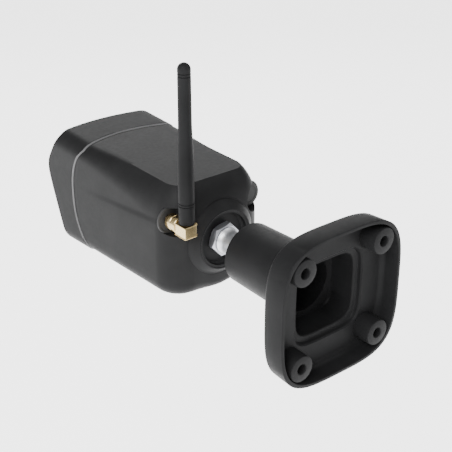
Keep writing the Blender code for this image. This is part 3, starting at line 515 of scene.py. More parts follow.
@dataclass(frozen=True)
class PlainPlastic:
    """Smooth moulded plastic inside the housing."""

    name: str
    colour: Colour
    roughness: float = 0.4

    def material(self) -> bpy.types.Material:
        """Build the material: faint flow marks."""
        shader = Shader(self.name)
        flow = shader.noise(0.25, 4.0, (1.0, 0.3, 1.0))
        colour = shader.blend(shader.spread(flow, 0.0, 1.0), tuple(c * 0.9 for c in self.colour), self.colour)
        return shader.finish(colour, shader.spread(flow, self.roughness - 0.05, self.roughness + 0.05),
                             relief=shader.noise(2.5, 2.0), depth=0.004)


@dataclass(frozen=True)
class BrushedSheet:
    """Brushed or tinned sheet metal."""

    name: str
    colour: Colour
    roughness: float = 0.34

    def material(self) -> bpy.types.Material:
        """Build the material: long scratches along X."""
        shader = Shader(self.name)
        scratches = shader.noise(4.0, 3.0, (0.03, 1.0, 1.0))
        colour = shader.blend(shader.spread(scratches, 0.0, 1.0), tuple(c * 0.85 for c in self.colour),
                              self.colour)
        return shader.finish(colour, shader.spread(scratches, self.roughness - 0.06, self.roughness + 0.08),
                             1.0,
                             scratches, 0.004)


@dataclass(frozen=True)
class SolderMask:
    """Green circuit board with copper tracks under the mask."""

    name: str
    colour: Colour = (0.012, 0.075, 0.032)
    track: Colour = (0.03, 0.14, 0.055)

    def material(self) -> bpy.types.Material:
        """Build the material: angular tracks, pads and a gloss mask."""
        shader = Shader(self.name)
        routes = shader.node("ShaderNodeTexVoronoi", {"feature": "DISTANCE_TO_EDGE", "distance": "EUCLIDEAN"},
                             {"Vector": shader.place(), "Scale": 0.35})
        tracks = 1.0 - shader.spread(routes, 0.0, 1.0, 0.05, 0.09)
        pads = 1.0 - shader.spread(shader.cells(0.6), 0.0, 1.0, 0.12, 0.16)
        mask = shader.blend(tracks, self.colour, self.track)
        colour = shader.blend(pads, mask, (0.55, 0.5, 0.36))
        return shader.finish(colour, 0.3 + pads * 0.15, relief=tracks, depth=0.03)


@dataclass(frozen=True)
class ClearGlass:
    """Coated lens glass or a smoked window: dark, glossy and see-through."""

    name: str
    colour: Colour
    alpha: float
    painted_coat_reflection: Colour = (0.10, 0.05, 0.16)

    def material(self) -> bpy.types.Material:
        """Build the material: the anti-reflection coat's coloured reflection painted into the base colour in
        patches, and faint dust in the gloss.
        """
        shader = Shader(self.name)
        # painted reflection: the coat is real, but its purple reflection is painted here as patches of base
        # colour
        coat = shader.spread(shader.noise(0.06, 1.0), 0.0, 0.6)
        colour = shader.blend(coat, self.colour, self.painted_coat_reflection)
        dust = shader.spread(shader.noise(1.8, 4.0), 0.03, 0.09, 0.5, 0.8)
        return shader.finish(colour, dust, Alpha=self.alpha, Coat_Weight=0.6, Coat_Roughness=0.03)


class Finish(Enum):
    """Every finish on the camera, by what it covers."""

    HOUSING = SatinSkin("housing_skin")
    CASTING = SatinSkin("casting_coat", (0.0115, 0.0116, 0.012), 0.45, 2.6, 0.008)
    ANTENNA = SatinSkin("antenna_skin", (0.0105, 0.0106, 0.011), 0.5, 4.0, 0.005)
    RING = SatinSkin("clamp_ring_skin", (0.008, 0.008, 0.0085), 0.55, 3.0, 0.006)
    # painted highlight: a light grey skin that stands in for the light caught by the bevel along the joint
    EDGE = SatinSkin("painted_highlight_edge", (0.11, 0.11, 0.112), 0.32, 3.2, 0.002)
    INNER = PlainPlastic("inner_black_plastic", (0.012, 0.012, 0.013), 0.5)
    WHITE = PlainPlastic("white_nylon", (0.62, 0.62, 0.59), 0.45)
    CHIP = PlainPlastic("chip_package", (0.016, 0.016, 0.018), 0.42)
    LAMP = PlainPlastic("lamp_epoxy", (0.55, 0.52, 0.42), 0.12)
    RUBBER = SoftRubber("seal_rubber")
    CABLE = SoftRubber("cable_jacket", (0.01, 0.01, 0.011))
    PAD = SoftRubber("thermal_pad_rubber", (0.32, 0.37, 0.44))
    ZINC = TurnedMetal("bright_zinc_plate", (0.66, 0.67, 0.69), Axis.Y, 0.42)
    NUT = TurnedMetal("grey_zinc_plate", (0.5, 0.51, 0.54), Axis.Y, 0.46, 3.0)
    BRASS = CastBrass("gold_plated_brass")
    BRASS_TURNED = TurnedMetal("gold_plate_turned", (0.7, 0.54, 0.28), Axis.Y, 0.24, 4.0)
    STEEL = BrushedSheet("screw_steel", (0.5, 0.5, 0.52))
    TIN = BrushedSheet("tinned_steel", (0.6, 0.6, 0.6), 0.3)
    ALUMINIUM = BrushedSheet("chassis_aluminium", (0.58, 0.59, 0.61))
    BOARD = SolderMask("green_solder_mask")
    WINDOW = ClearGlass("smoked_window", (0.004, 0.004, 0.005), 0.72, (0.012, 0.01, 0.018))
    # the lens takes the default purple painted reflection of its coat
    LENS = ClearGlass("coated_lens", (0.02, 0.012, 0.05), 0.75)

    def material(self) -> bpy.types.Material:
        """The finish's one material, made on first use."""
        return bpy.data.materials.get(self.value.name) or self.value.material()


def dress(piece: Piece, finish: Finish, body: Optional[Body] = None,
          replaces: Sequence[str] = ()) -> Piece:
    """Give a piece its finish and its place in the frame.

    Args:
        piece: the finished piece.
        finish: what it is covered with.
        body: the body that it rides on.
        replaces: CAD nodes that it stands for.

    Returns:
        The same piece.
    """
    piece.data.materials.clear()
    piece.data.materials.append(finish.material())
    if body:
        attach(piece, body.value)
    if replaces:
        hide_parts(*replaces)
    LOG.info("%s: %d faces, %s", piece.name, len(piece.data.polygons), finish.value.name)
    return piece


# --- camera housing ----------------------------------------------------------------------------------------
@dataclass(frozen=True)
class Outline:
    """The housing's outline across y, with its tapers, rounded shoulders, crease and lower chamfers."""

    rear_y: float = -104.6
    plan_corner: float = 18.0
    sides: Flat = (38.0, 36.8)
    tops: Flat = (38.3, 37.0)
    bottoms: Flat = (-37.0, -35.2)
    taper: Flat = (-210.0, -120.0)
    flat_half: float = 28.0
    rear_turn: float = 45.0
    chamfer: float = 9.5
    rear_edge: float = 6.0
    crease: Flat = (7.5, 15.5)
    crease_step: float = 0.8
    crease_half: float = 2.2

    def along(self, pair: Flat, y: float) -> float:
        """A size that tapers from the front to the rear."""
        return mixed(pair[0], pair[1], (y - self.taper[0]) / (self.taper[1] - self.taper[0]))

    def ring(self, y: float, wall: float = 0.0, proud: float = 0.0, creased: bool = True) -> list[Point]:
        """The outline at one y.

        Args:
            y: the place along the camera.
            wall: how far the ring lies inside the outer skin.
            proud: how far it stands outside it.
            creased: whether the crease along the sides shows.

        Returns:
            Points anticlockwise from the bottom centre, the same number at every y.
        """
        grow = proud - wall
        side, top = self.along(self.sides, y) + grow, self.along(self.tops, y) + grow
        bottom = self.along(self.bottoms, y) - grow
        room = max(self.rear_y - wall * 1.3 - y, 0.0)
        corner = self.plan_corner - wall
        turn = radians(mixed(90.0, self.rear_turn, ramp(y, -198.0, -128.0)))
        flat = self.flat_half - 0.35 * wall
        radius = (side - flat) / (1 - cos(turn))
        shoulder = top - radius * sin(turn)
        chamfer = self.chamfer - 0.4 * wall
        crease_z = mixed(self.crease[0], self.crease[1], ramp(y, -206.0, -118.0))
        fade = ramp(y, -205.0, -150.0) * (1 - ramp(y, -118.0, -107.0)) if creased else 0.0
        step = self.crease_step * soft_step(fade)

        def inset(z: float) -> float:
            """How far the shoulder or the chamfer draws the side in at a height."""
            if z > shoulder:
                rise = min(z - shoulder, radius)
                return radius - sqrt(radius ** 2 - rise ** 2)
            if z < bottom + chamfer:
                drop = min(bottom + chamfer - z, chamfer)
                return chamfer - sqrt(chamfer ** 2 - drop ** 2)
            return 0.0

        def reach(z: float, upper: float) -> float:
            """Half width at a height, above the crease by a share of its step."""
            if room >= corner:
                return side - inset(z) - step * upper
            left = max(corner - inset(z), 0.0)
            swing = sqrt(max(left ** 2 - (corner - room) ** 2, 0.0))
            return side - corner + swing - step * upper

        def lowest(size: float) -> float:
            """Height of the underside where a rounding of this size meets the rear face."""
            left = max(size - room, 0.0)
            return bottom + size - sqrt(size ** 2 - left ** 2)

        high = top
        if room < side - flat:
            high = shoulder + sqrt(max(radius ** 2 - (radius - room) ** 2, 0.0))
        middle, low = lowest(self.rear_edge), lowest(chamfer)
        chamfer_top = bottom + chamfer
        arc_start = max(shoulder, crease_z + self.crease_half)
        high = max(high, arc_start + 0.1)
        steep = asin(min((chamfer_top - low) / chamfer, 1.0))
        levels = [(chamfer_top - chamfer * sin(steep * (1 - k / 9)), 0.0) for k in range(10)]
        levels += [(mixed(chamfer_top, crease_z - self.crease_half, k / 7), 0.0) for k in range(1, 8)]
        levels += [(crease_z - self.crease_half + 2 * self.crease_half * k / 6, soft_step(k / 6))
                   for k in range(1, 7)]
        levels += [(mixed(crease_z + self.crease_half, arc_start, k / 5), 1.0) for k in range(1, 6)]
        first = asin(min((arc_start - shoulder) / radius, 1.0))
        last = asin(min((high - shoulder) / radius, 1.0))
        levels += [(shoulder + radius * sin(mixed(first, last, k / 14)), 1.0) for k in range(1, 15)]
        flank = [(max(reach(z, upper), 0.5), z + 1e-4 * number) for number, (z, upper) in enumerate(levels)]
        under = [(flank[0][0] * k / 8, mixed(middle, low, soft_step(k / 8))) for k in range(8)]
        over = [(flank[-1][0] * (1 - k / 10), high) for k in range(1, 11)]
        right = [(x, y, z) for x, z in under + flank + over]
        return right + [(-x, y, z) for x, y, z in reversed(right[1:-1])]


@dataclass(frozen=True)
class JointLine:
    """The curved joint between the rear housing and the bezel, and the bezel's front edge."""

    outline: Outline
    corner_y: float = -200.0
    side_bulge: float = 12.5
    top_bulge: float = 6.0
    gap: float = 0.3
    nose: Flat = (-243.6, 12.0)
    nose_slope: float = 0.41
    visor_bow: float = 3.2
    band_y: float = -205.0
    nose_y: float = -240.0

    def parting(self, x: float, z: float) -> float:
        """Where the joint lies for a point of the outline."""
        bow_side = self.side_bulge * (1 - min(abs(z - 2.0) / 33.0, 1.0) ** 2.6)
        bow_top = self.top_bulge * (1 - min(abs(x) / 30.0, 1.0) ** 2)
        return self.corner_y - (bow_side if abs(x) > 30.0 else bow_top)

    def front(self, x: float, z: float) -> float:
        """Where the bezel's front edge lies for a point of the outline."""
        bow = self.visor_bow * (x / self.outline.flat_half) ** 2 * ramp(z, 18.0, 36.0)
        return self.nose[0] + hypot(self.nose_slope * (z - self.nose[1]), 2.0) - 2.0 + bow

    def places(self, edge: Callable[[float, float], float]) -> list[float]:
        """The y of an edge for each point round the outline."""
        return [edge(x, z) for x, _, z in self.outline.ring(self.band_y, creased=False)]


@dataclass
class CameraBody:
    """Rear housing, front bezel with its visor, window, hatch and the ports' recesses."""

    outline: Outline = Outline()
    seam: JointLine = JointLine(Outline())
    wall: float = 2.6
    plane: float = -150.0
    collar_radius: float = 24.6
    collar_crest: float = 19.6
    collar_bore: float = 17.1
    collar_lip: float = -99.9
    recess_floor: float = -104.8
    port: Flat = (30.0, 16.5)
    port_radius: float = 9.0
    port_wall: float = 2.2
    port_floor: float = -117.0
    port_boss: float = -123.0
    bezel_wall: float = 3.0
    bezel_proud: float = 0.6
    edge_width: float = 1.0
    window_y: float = -222.0
    window_thick: float = 3.0
    hatch_y: float = -146.0
    hatch_half: Flat = (21.0, 13.0)
    hatch_face: float = -35.7
    hatch_screw_x: float = 18.0
    speaker_y: float = -186.0

    def build(self) -> None:
        """Model and dress every piece of the camera's case."""
        self.build_housing()
        self.build_bezel()
        self.build_window()
        self.build_hatch()

    def bent(self, along: float, wall: float = 0.0, creased: bool = True) -> list[Point]:
        """The outline on the joint line, moved a fraction of the way back to a flat plane."""
        base = self.outline.ring(mixed(self.seam.band_y, self.plane, along), wall, creased=creased)
        starts = self.seam.places(self.seam.parting)
        return [(x, mixed(start, self.plane, along), z) for (x, _, z), start in zip(base, starts)]

    def build_housing(self) -> None:
        """The rear housing: a lofted shell, the collar round the stud and the two round ports."""
        corner, shoulder = self.outline.plan_corner, self.outline.sides[1] - self.outline.flat_half
        nearest = 0.1
        rooms = [corner * (1 - k / 24) ** 2 for k in range(24)]
        rooms += [shoulder, shoulder + 0.35, self.outline.rear_edge, nearest]
        rooms = [room for room in sorted(rooms, reverse=True) if room >= nearest]
        rear_stations = [self.outline.rear_y - room for room in rooms]
        outer = [self.bent(0.0, 0.25), self.bent(0.006, 0.06), self.bent(0.012)]
        outer += [self.bent(k / 14) for k in range(1, 15)]
        outer += [self.outline.ring(mixed(self.plane, rear_stations[0], k / 8)) for k in range(1, 8)]
        outer += [self.outline.ring(y) for y in rear_stations]
        inner = [self.bent(k / 3, self.wall, False) for k in range(4)]
        inner += [self.outline.ring(y, self.wall, creased=False)
                  for y in (-128.0, -121.0, -116.0, -112.0, -109.0)]
        shell = MAKER.loft("rear_housing_shell", list(reversed(outer)) + inner, angle=26)

        for side in (1, -1):
            radius = self.port_radius + self.port_wall
            boss = MAKER.turned("port_boss", [(radius, self.port_boss), (radius, -104.0)],
                                centre=(side * self.port[0], self.port[1]))
            places = (-134.0, -125.0, -121.0, -117.0, -114.0, -111.0, -108.0)
            rings = [self.outline.ring(y, 0.3) for y in places]
            MAKER.combine(boss, [MAKER.loft("inside", rings)], "INTERSECT")
            MAKER.join(shell, boss)
        MAKER.join(shell, self.collar())
        port = MAKER.turned("port", [(self.port_radius, self.port_floor), (self.port_radius, -90.0)],
                            sides=96)
        ports = MAKER.copies(port, [(side * self.port[0], 0.0, self.port[1]) for side in (1, -1)])
        recess = MAKER.turned("recess", filleted([(self.collar_bore - 1.5, self.recess_floor),
                                                  (self.collar_bore, self.recess_floor + 1.5),
                                                  (self.collar_bore, -90.0)], 0.8, closed=False), sides=96)
        stud_bore = MAKER.turned("stud_bore", [(6.3, -130.0), (6.3, -90.0)], sides=64)
        MAKER.cut(shell, *ports, recess, stud_bore, *self.sound_holes())
        flat = rounded_rectangle(self.hatch_half[0] + 0.3, self.hatch_half[1] + 0.3, 3.3)
        MAKER.cut(shell, MAKER.prism("hatch_recess", flat, -60.0, self.hatch_face + 1.9, Axis.Z,
                                     (0.0, self.hatch_y)))
        MAKER.smooth(shell, 26)
        dress(shell, Finish.HOUSING, Body.CAMERA, ("rear_housing",))

    def collar(self) -> Piece:
        """The flared collar round the recess that the stud screws into."""
        rear = self.outline.rear_y
        profile = [(11.0, -116.0), (11.0, rear - 6.0), (self.collar_radius, rear - 4.0),
                   (self.collar_radius, rear - 0.4), (self.collar_radius - 2.2, rear + 2.0),
                   (self.collar_crest, self.collar_lip - 0.3), (self.collar_crest - 0.7, self.collar_lip),
                   (self.collar_crest - 1.2, self.collar_lip - 0.5),
                   (self.collar_bore, self.collar_lip - 0.7)]
        radii = [0.0, 0.0, 0.0, 1.2, 2.0, 0.35, 0.3, 0.4, 0.0]
        return MAKER.turned("collar", filleted(profile, radii, closed=False, steps=8), sides=128)

    def sound_holes(self) -> list[Piece]:
        """Seven holes under the speaker: one in the middle and six round it."""
        spacing = 4.0
        hole = MAKER.turned("sound_hole", [(1.0, -45.0), (1.0, -30.0)], Axis.Z, (0.0, self.speaker_y), 20)
        ring = [(spacing * cos(k * pi / 3), spacing * sin(k * pi / 3), 0.0) for k in range(6)]
        return MAKER.copies(hole, [(0.0, 0.0, 0.0)] + ring)

    def build_bezel(self) -> None:
        """The bezel: a band ahead of the joint that runs forward into the visor and the rounded front lip."""
        def band(amount: float, wall: float) -> list[Point]:
            """The bezel's skin, a fraction of the way from the joint to the front edge."""
            base = self.outline.ring(mixed(self.seam.band_y, self.seam.nose_y, amount), wall,
                                     self.bezel_proud,
                                     False)
            starts, ends = self.seam.places(self.seam.parting), self.seam.places(self.seam.front)
            return [(x, mixed(start - self.seam.gap, end, amount), z + 0.9 * amount * ramp(z, 0.0, 38.0))
                    for (x, _, z), start, end in zip(base, starts, ends)]

        def level(y: float, wall: float) -> list[Point]:
            """A flat ring inside the bezel."""
            return self.outline.ring(y, wall, self.bezel_proud, False)

        seat, wall = self.window_y + self.window_thick + 0.3, self.bezel_wall
        lip = [band(0.945 + 0.055 * sin(t), 1.9 * (1 - cos(t))) for t in (pi / 2 * k / 6 for k in range(7))]
        outer = [band(0.0, 1.4), band(0.0, 0.75), band(0.016, 0.2), band(0.03, 0.0)]
        outer += [band(k / 12, 0.0) for k in range(1, 12)] + lip
        inner = [band(0.995, 2.6), band(0.975, wall), level(seat - 3.6, wall + 0.6), level(seat, wall + 0.6),
                 level(seat, wall + 3.8), level(seat + 2.8, wall + 3.8), level(seat + 3.0, wall),
                 band(0.0, wall)]
        bezel = MAKER.loft("front_bezel_shell", outer + inner, hollow=True, angle=26)
        dress(bezel, Finish.HOUSING, Body.CAMERA, ("front_bezel",))
        # painted highlight: the joint's bevel gets a lighter colour in place of the light it catches
        self.paint_edge_highlight(bezel)

    def paint_edge_highlight(self, bezel: Piece) -> None:
        """Paint a highlight on the bevel along the joint: its outward faces get a light grey skin that stands
        in for the light they catch.
        """
        bezel.data.materials.append(Finish.EDGE.material())
        for face in bezel.data.polygons:
            x, y, z = face.center / MM
            behind = y - self.seam.parting(x, z) + self.seam.gap
            outward = face.normal.dot(Vector((x, 0.0, z)).normalized())
            if behind > -self.edge_width and outward > 0.3:
                face.material_index = 1

    def build_window(self) -> None:
        """The smoked front window, with a small chamfer round its front."""
        inset = self.bezel_wall + 0.9
        rings = [self.outline.ring(self.window_y + back, inset + grow, self.bezel_proud, False)
                 for back, grow in ((0.0, 0.6), (0.15, 0.2), (0.5, 0.0), (self.window_thick, 0.0))]
        window = MAKER.loft("front_window_pane", rings, angle=30)
        dress(window, Finish.WINDOW, Body.CAMERA, ("front_window",))

    def build_hatch(self) -> None:
        """The service hatch under the housing, with a finger notch and countersunk screws."""
        face, back = self.hatch_face, self.hatch_face + 1.7
        outline = rounded_rectangle(self.hatch_half[0], self.hatch_half[1], 3.0)
        hatch = MAKER.prism("service_hatch_cover", outline, face, back, Axis.Z, (0.0, self.hatch_y),
                            edge=0.35)
        sides = [(side * self.hatch_screw_x, self.hatch_y, 0.0) for side in (1, -1)]
        way = [(2.3, face - 1.0), (2.3, face + 0.7), (1.35, face + 0.9), (1.35, back + 1.0)]
        MAKER.cut(hatch, *MAKER.copies(MAKER.turned("screw_way", way, Axis.Z, sides=32), sides))
        ridge = MAKER.block("ridge", (-5.0, self.hatch_y - 9.0, face - 0.5),
                            (5.0, self.hatch_y - 8.5, face + 0.35))
        MAKER.cut(hatch, *MAKER.copies(ridge, [(0.0, 1.2 * k, 0.0) for k in range(3)]))
        MAKER.smooth(hatch)
        dress(hatch, Finish.HOUSING, Body.CAMERA, ("service_hatch",))
        for letter, screw in zip("ab", MAKER.copies(self.hatch_screw(face, back), sides)):
            screw.name = screw.data.name = f"hatch_screw_head_{letter}"
            dress(screw, Finish.STEEL, Body.CAMERA, (f"hatch_screw_{letter}",))

    def hatch_screw(self, face: float, back: float) -> Piece:
        """One countersunk screw with a cross drive, on the Z axis."""
        head = [(1.4, face + 0.05), (1.9, face + 0.25), (1.9, face + 0.5), (0.85, face + 0.55),
                (0.85, back + 2.0)]
        screw = MAKER.turned("hatch_screw", head, Axis.Z, sides=32)
        long, wide = 1.1, 0.22
        MAKER.cut(screw, *[MAKER.block("drive", (-u, -v, face - 1.0), (u, v, face + 0.42))
                           for u, v in ((wide, long), (long, wide))])
        return screw


# --- antenna and ports -------------------------------------------------------------------------------------
@dataclass
class Antenna:
    """Rod antenna with its right-angle brass foot, the jack behind it and the plugged twin port."""

    x: float = 30.0
    y: float = -98.8
    z: float = 16.5
    elbow: Point = (10.6, 10.4, 7.6)
    elbow_cut: float = 2.0
    foot_radius: float = 4.75
    tip_radius: float = 3.8
    tip_z: float = 116.5
    coupling_radius: float = 5.0
    coupling_front: float = -114.6
    port_floor: float = -117.0
    port_radius: float = 9.0

    def build(self) -> None:
        """Model and dress the antenna, its coupling nut and what is in the two ports."""
        self.build_sleeve()
        self.build_elbow()
        self.build_coupling()
        self.build_ports()

    def groove(self, radius: float, z: float) -> list[Flat]:
        """Profile points of one thin ring groove."""
        return [(radius, z - 0.38), (radius - 0.38, z - 0.16), (radius - 0.38, z + 0.16), (radius, z + 0.38)]

    def build_sleeve(self) -> None:
        """The tapering sleeve with two pairs of grooves and a round tip."""
        foot = self.z + self.elbow[2] / 2 + 0.3
        length = self.tip_z - foot
        base, tip = self.foot_radius, self.tip_radius
        profile = [(base - 0.5, foot), (base - 0.15, foot + 0.15), (base, foot + 0.5)]
        for height in (0.121, 0.1375):
            profile += self.groove(base, foot + height * length)
        flare = [k / 12 for k in range(13)]
        profile += [(mixed(base, tip + 0.1, soft_step(t)), foot + mixed(0.36, 0.66, t) * length)
                    for t in flare]
        for height in (0.922, 0.9395):
            profile += self.groove(mixed(tip + 0.1, tip, height), foot + height * length)
        profile += [(tip * cos(t), self.tip_z - tip + tip * sin(t))
                    for t in (radians(6.0 * k) for k in range(15))]
        sleeve = MAKER.turned("antenna_rod", profile, Axis.Z, (self.x, self.y), 72)
        way = [(2.6, foot - 2.0), (2.6, foot + 5.0), (2.0, foot + 6.0), (2.0, self.tip_z - 6.0)]
        bore = MAKER.turned("bore", way, Axis.Z, (self.x, self.y), 32)
        MAKER.cut(sleeve, bore)
        MAKER.smooth(sleeve)
        dress(sleeve, Finish.ANTENNA, Body.ANTENNA, ("antenna_sleeve",))

    def build_elbow(self) -> None:
        """The square brass block that turns the antenna through a right angle."""
        half_x, half_y, half_z = (size / 2 for size in self.elbow)
        cut = self.elbow_cut
        outline = [(half_x, half_y), (-half_x + cut, half_y), (-half_x, half_y - cut), (-half_x, -half_y),
                   (half_x, -half_y)]
        shape = filleted(outline, 0.35)
        block = MAKER.prism("antenna_elbow_block", shape, self.z - half_z, self.z + half_z, Axis.Z,
                            (self.x, self.y), edge=0.4)
        MAKER.cut(block, MAKER.turned("pin_way", [(3.0, self.y - half_y - 1.0), (3.0, self.y - 1.5)],
                                      centre=(self.x, self.z), sides=48),
                  MAKER.turned("core_way", [(2.2, self.z - 1.5), (2.2, self.z + 10.0)], Axis.Z,
                               (self.x, self.y), 48))
        MAKER.smooth(block)
        dress(block, Finish.BRASS, Body.ANTENNA, ("antenna_elbow",))

    def build_coupling(self) -> None:
        """The turned coupling nut: a plain band, one grip groove and a thin rear flange."""
        front, rear, radius = self.coupling_front, self.y - self.elbow[1] / 2 - 0.3, self.coupling_radius
        outer = [(3.6, front), (radius - 0.6, front), (radius, front + 0.6), (radius, front + 4.6),
                 (radius - 0.3, front + 4.9), (radius - 0.3, front + 5.3), (radius, front + 5.6),
                 (radius, rear - 1.2), (radius - 0.4, rear - 0.8), (radius - 1.4, rear - 0.5),
                 (radius - 1.4, rear)]
        inner = [(2.6, rear), (2.6, rear - 1.5), (3.6, rear - 1.5)]
        nut = MAKER.turned("coupling_nut_barrel", filleted(outer + inner, 0.18, steps=3),
                           centre=(self.x, self.z),
                           sides=72, hollow=True)
        dress(nut, Finish.BRASS_TURNED, Body.COUPLING, ("antenna_coupling_nut",))

    def build_ports(self) -> None:
        """The sealing washer round the jack, the threaded jack and the blanking plug of the twin port."""
        front, rear = self.port_floor + 0.3, self.port_floor + 1.7
        radius = self.port_radius - 0.3
        washer = [(3.5, front), (radius, front), (radius, rear), (radius - 1.0, rear),
                  (radius - 1.6, rear - 0.5),
                  (3.5, rear - 0.5)]
        ring = MAKER.turned("port_washer_ring", filleted(washer, 0.25, steps=3), centre=(self.x, self.z),
                            sides=96,
                            hollow=True)
        dress(ring, Finish.RUBBER, Body.CAMERA, ("port_washer",))

        tip, root = self.y - self.elbow[1] / 2 - 2.2, -126.5
        turns = 56
        thread = [(3.2 - 0.22 * (k % 2), mixed(root, tip, k / turns)) for k in range(turns + 1)]
        jack = MAKER.turned("antenna_jack_thread", [(1.0, -130.0), (1.0, root - 0.1)] + thread,
                            centre=(self.x, self.z), sides=40)
        MAKER.cut(jack, MAKER.turned("contact_way", [(2.4, -110.0), (2.4, tip + 3.0)],
                                     centre=(self.x, self.z),
                                     sides=32))
        MAKER.smooth(jack)
        dress(jack, Finish.BRASS_TURNED, Body.CAMERA, ("antenna_jack",))

        face = self.port_floor + 2.8
        cap = [(radius, front), (radius, self.port_floor + 1.6), (radius - 0.5, face - 0.4),
               (radius - 1.2, face),
               (radius - 2.6, face), (radius - 3.0, face - 0.4), (0.6, face - 0.4)]
        plug = MAKER.turned("port_plug_cap", filleted(cap, 0.35, closed=False, steps=4),
                            centre=(-self.x, self.z),
                            sides=96)
        dress(plug, Finish.RUBBER, Body.CAMERA, ("port_plug",))


# --- ball joint --------------------------------------------------------------------------------------------
@dataclass
class BallJoint:
    """Ball stud, hex lock nut, seat ring and clamp ring."""

    ball_y: float = -72.0
    ball_radius: float = 12.5
    neck_radius: float = 6.5
    thread_radius: float = 6.0
    cable_radius: float = 3.6
    stud_end: float = -119.0
    nut_flats: float = 18.7
    nut_front: float = -104.2
    nut_rear: float = -99.0
    nut_corner: float = 48.0
    flare_radius: float = 8.3
    stem_bore: float = 16.3
    shoulder_y: float = -58.0
    rim_y: float = -78.65

    def ball_arc(self, radius: float, start_y: float, end_y: float, steps: int) -> list[Flat]:
        """Profile points of a sphere round the joint's centre."""
        first, last = (acos((y - self.ball_y) / radius) for y in (start_y, end_y))
        turns = [mixed(first, last, k / steps) for k in range(steps + 1)]
        return [(radius * sin(t), self.ball_y + radius * cos(t)) for t in turns]

    def build(self) -> None:
        """Model and dress the four pieces."""
        self.build_stud()
        self.build_nut()
        self.build_rings()

    def build_stud(self) -> None:
        """The hollow ball stud with a flared neck and a rolled thread."""
        rear = self.ball_y + sqrt(self.ball_radius ** 2 - (self.cable_radius + 1.2) ** 2)
        neck = self.ball_y - sqrt(self.ball_radius ** 2 - (self.neck_radius + 1.4) ** 2)
        profile = [(self.cable_radius, rear - 0.8), (self.cable_radius + 0.8, rear)]
        profile += self.ball_arc(self.ball_radius, rear, neck, 32)
        profile += [(self.neck_radius + 0.5, neck - 0.5), (self.neck_radius + 0.1, neck - 1.4),
                    (self.neck_radius, neck - 3.0)]
        profile += arc((self.neck_radius + 5.0, self.nut_rear + 4.6), 5.0, 180.0, 230.0, 8)
        profile += [(self.flare_radius, self.nut_rear + 0.75), (self.flare_radius, self.nut_rear + 0.3),
                    (self.thread_radius, self.nut_rear + 0.3)]
        start, end = self.nut_rear + 0.2, self.stud_end + 0.9
        profile += [(self.thread_radius - 0.3 * (k % 2), mixed(start, end, k / 40)) for k in range(1, 41)]
        profile += [(self.thread_radius - 0.9, self.stud_end), (self.cable_radius, self.stud_end)]
        stud = MAKER.turned("ball_stud_turned", profile, sides=72, hollow=True)
        dress(stud, Finish.ZINC, Body.STUD, ("ball_stud",))

    def build_nut(self) -> None:
        """The hex nut: a hexagon cut by the turned chamfers of both faces."""
        corner = self.nut_flats / 2 / cos(pi / 6)
        turns = [radians(self.nut_corner + 60.0 * k) for k in range(6)]
        hexagon = [(corner * cos(t), corner * sin(t)) for t in turns]
        nut = MAKER.prism("lock_nut_hexagon", filleted(hexagon, 0.5, steps=3), self.nut_front, self.nut_rear)
        flat = self.nut_flats / 2
        round_blank = [(flat - 0.5, self.nut_front), (corner, self.nut_front + 1.1),
                       (corner, self.nut_rear - 1.1),
                       (flat - 0.3, self.nut_rear), (flat - 0.8, self.nut_rear)]
        MAKER.combine(nut, [MAKER.turned("blank", round_blank, sides=96)], "INTERSECT")
        bore = [(6.9, self.nut_front - 1.0), (6.9, self.nut_front), (6.3, self.nut_front + 0.6),
                (6.3, self.nut_rear - 0.6), (6.9, self.nut_rear), (6.9, self.nut_rear + 1.0)]
        MAKER.cut(nut, MAKER.turned("nut_bore", bore, sides=72))
        MAKER.smooth(nut, 20)
        dress(nut, Finish.NUT, Body.STUD, ("lock_nut",))

    def build_rings(self) -> None:
        """The white seat behind the ball and the black ring that clamps it from the front."""
        inner, outer = self.ball_radius + 0.25, self.stem_bore - 0.3
        seat = [(8.0, self.shoulder_y - 0.8), (outer - 0.6, self.shoulder_y - 0.3),
                (outer, self.shoulder_y - 0.9),
                (outer, self.ball_y + 0.6)]
        seat += self.ball_arc(inner, self.ball_y + 0.6, self.ball_y + sqrt(inner ** 2 - 64.0), 16)
        ring = MAKER.turned("ball_seat_ring", seat, sides=72, hollow=True)
        dress(ring, Finish.WHITE, Body.SEAT, ("ball_seat",))
        face = self.rim_y + 1.0
        clamp = self.ball_arc(inner, self.ball_y + 0.2, face + 0.8, 8)
        clamp += [(clamp[-1][0] + 0.7, face + 0.1), (clamp[-1][0] + 1.1, face), (outer - 0.4, face),
                  (outer, face + 0.4), (outer, self.ball_y + 0.2)]
        ring = MAKER.turned("clamp_ring_turned", clamp, sides=72, hollow=True)
        dress(ring, Finish.RING, Body.BRACKET, ("clamp_ring",))


